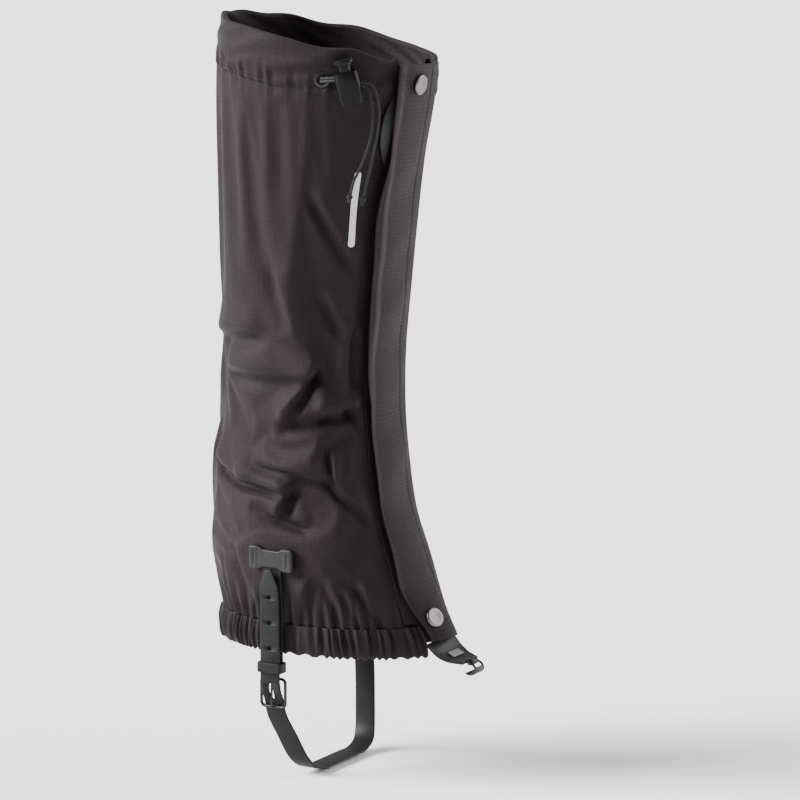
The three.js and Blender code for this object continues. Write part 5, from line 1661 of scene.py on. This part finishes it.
# ---- lace tab, its blank label and its hook ------------------------------------------------------
TAB_WIDTH = 38
TAB_THICK = 1.8
TAB_ROWS = 120
TAB_SEWN = slice(70, 119)
HOOK_BAR_R = 1.0
LABEL_HALF_WIDTH = 7
LABEL_HALF_HEIGHT = 2.8
TAB_INSIDE = -0.9 - 3.7 - TAB_THICK / 2


def tab_line():
    """Middle line of the tab, where it leaves the placket, and its tip."""
    points = [shell(0.0, n, TAB_INSIDE + extra) for n, extra in ((36, 0), (26, 0), (17, 0), (9, 1))]
    leave = points[-1]
    tip = np.array([0, leave[1] - 19.5, leave[2] - 10.5])
    points += [leave * (0, 1, 1) - (0, forward, down) for forward, down in ((4.2, 5.6), (9.5, 8.6))]
    points.append(tip)
    return points, leave, tip


def make_tab():
    """Coated tab: narrow behind the placket, wide where it comes out, then tapering to the hook's eye."""
    points, leave, tip = tab_line()
    path = spline(points, TAB_ROWS)
    run = np.linspace(0, 1, TAB_ROWS)
    out_share = smooth(-3.2, -0.4, leave[2] - path[:, 2])
    taper = 1 - 0.42 * np.maximum(0, (run - 0.6) / 0.4) ** 1.6
    half = TAB_WIDTH / 2 * (0.36 + 0.64 * out_share) * taper
    across = np.linspace(-1, 1, 60)
    forward = unit(np.gradient(path, axis=0))
    side = np.array([1.0, 0.0, 0.0])
    out = unit(np.cross(side, forward))
    out = out * np.sign(out[-20:, 2].mean())
    rim = 1 - np.clip((np.abs(across)[None, :] * half[:, None] - (half[:, None] - 0.8)) / 0.8, 0, 1) ** 2
    edge_groove = np.exp(-(((half[:, None] - np.abs(across)[None, :] * half[:, None] - 2.4) / 0.35) ** 2))
    thick = TAB_THICK / 2 * (0.45 + 0.55 * np.sqrt(np.clip(rim, 0, 1)))
    bow = 5.0 * out_share * (1 - smooth(0.45, 0.8, run))
    flat = path[:, None] + side * (across[None, :, None] * half[:, None, None])
    flat = flat + np.array([0.0, 1.0, 0.25]) * (bow[:, None] * across[None, :] ** 2)[..., None]
    outer = flat + out[:, None] * (thick - 0.22 * edge_groove)[..., None]
    inner = flat - out[:, None] * thick[..., None]
    body = slab("tab_body", outer, inner)
    a = np.linspace(0, 2 * np.pi, 24, endpoint=False)
    eye_centre = tip + np.array([0, -HOOK_BAR_R - 1.0, 0])
    ring_path = eye_centre + np.stack([0 * a, 2.0 * np.cos(a), 2.0 * np.sin(a)], -1)
    ring_forward = loop_forward(ring_path)
    ring_side = np.broadcast_to(side, ring_path.shape)
    ring_out = np.cross(ring_side, ring_forward)
    eye = swept("tab_eye", ring_path, ring_side, ring_out, rounded_bar(7.6, 1.3, 0.4), closed=True)
    obj = joined("lace_tab_coated", [body, eye])
    finish_piece(obj, "shell", "tab_rubber", ["lace_tab"])
    low, high = path[int(0.70 * (TAB_ROWS - 1))], path[int(0.86 * (TAB_ROWS - 1))]
    along = unit(high - low)
    lift = np.cross(side, along)
    lift = lift if lift[2] > 0 else -lift
    middle = (low + high) / 2 + lift * (TAB_THICK / 2 + 0.55)
    u = np.linspace(-LABEL_HALF_WIDTH, LABEL_HALF_WIDTH, 30)[None, :, None]
    v = np.linspace(-LABEL_HALF_HEIGHT, LABEL_HALF_HEIGHT, 14)[:, None, None]
    face = middle + side * u + along * v
    soft_edge = np.exp(-(LABEL_HALF_WIDTH - np.abs(u)) / 0.3) + np.exp(-(LABEL_HALF_HEIGHT - np.abs(v)) / 0.3)
    soft_edge = 0.16 * soft_edge
    label = slab("blank_label", face + lift * (0.35 - soft_edge), face - lift * 0.4)
    finish_piece(label, "shell", "label", ["label_patch"])
    normal = out[TAB_SEWN]
    rows = [stitches("tab_stitch", flat[TAB_SEWN, k] + normal * (TAB_THICK / 2), normal) for k in (5, -6)]
    finish_piece(joined("lace_tab_stitches", rows), "shell", "thread")
    return eye_centre


TAB_EYE = make_tab()
HOOK_PLAN = [(0, 0), (-2.8, -1), (-4.9, -3), (-5.4, -5.4), (-3.8, -7.5), (-0.9, -8.3), (2.1, -7.7)]
HOOK_HALF = 5.2


def make_hook():
    """Wire hook: a bar through the eye, two arms and a plate between them that curls back under."""
    side = np.array([1.0, 0.0, 0.0])
    line = spline([TAB_EYE + np.array([0, y, z]) for y, z in HOOK_PLAN], 60)
    forward = unit(np.gradient(line, axis=0))
    out = np.cross(np.broadcast_to(side, forward.shape), forward)
    arm = rounded_bar(1.8, 1.4, 0.5)
    arms = [swept("arm", line + side * shift, side, out, arm) for shift in (-HOOK_HALF, HOOK_HALF)]
    web = spline([TAB_EYE + np.array([0, y, z]) for y, z in HOOK_PLAN[2:]], 50)
    web_forward = unit(np.gradient(web, axis=0))
    web_out = np.cross(np.broadcast_to(side, web_forward.shape), web_forward)
    plate = swept("plate", web, side, web_out, rounded_bar(2 * HOOK_HALF, 1.2, 0.5))
    bar_line = np.array([TAB_EYE + side * x for x in (-6.1, -3, 0, 3, 6.1)])
    bar = swept("bar", bar_line, np.array([0.0, 1.0, 0.0]), UP, circle(HOOK_BAR_R, 14))
    hook = joined("lace_hook_bent", [*arms, plate, bar])
    finish_piece(hook, "hook", "dark_metal", ["lace_hook"])


make_hook()

# ---- floor and light -----------------------------------------------------------------------------
FLOOR = -0.0885
FLOOR_HALF = 12
SURROUND = 0.58
# name, direction, spread in degrees, power
SUNS = [
    ("key", (-0.52, 0.85, 0.62), 34, 13.0),
    ("front_fill", (1.1, -1.25, 0.6), 60, 3.2),
]


def make_studio():
    """Large pale floor, white surround, a broad key from behind the outer side and a soft front fill."""
    data = bpy.data.meshes.new("floor")
    corners = [(a * FLOOR_HALF, b * FLOOR_HALF, FLOOR) for a, b in ((-1, -1), (1, -1), (1, 1), (-1, 1))]
    data.from_pydata(corners, [], [(0, 1, 2, 3)])
    floor = bpy.data.objects.new("floor", data)
    bpy.context.scene.collection.objects.link(floor)
    paint = Finish("pale_floor", Base_Color=(0.9, 0.9, 0.9, 1), Roughness=0.9)
    floor.data.materials.append(paint.material)
    world = bpy.data.worlds.new("surround")
    world.use_nodes = True
    sky = world.node_tree.nodes["Background"]
    sky.inputs["Color"].default_value = (1, 1, 1, 1)
    sky.inputs["Strength"].default_value = SURROUND
    bpy.context.scene.world = world
    for name, place, spread, power in SUNS:
        light = bpy.data.lights.new(name, "SUN")
        light.angle = math.radians(spread)
        light.energy = power
        lamp = bpy.data.objects.new(name, light)
        bpy.context.scene.collection.objects.link(lamp)
        place = Vector(place)
        lamp.matrix_world = Matrix.LocRotScale(place, place.to_track_quat("Z", "Y"), None)


make_studio()
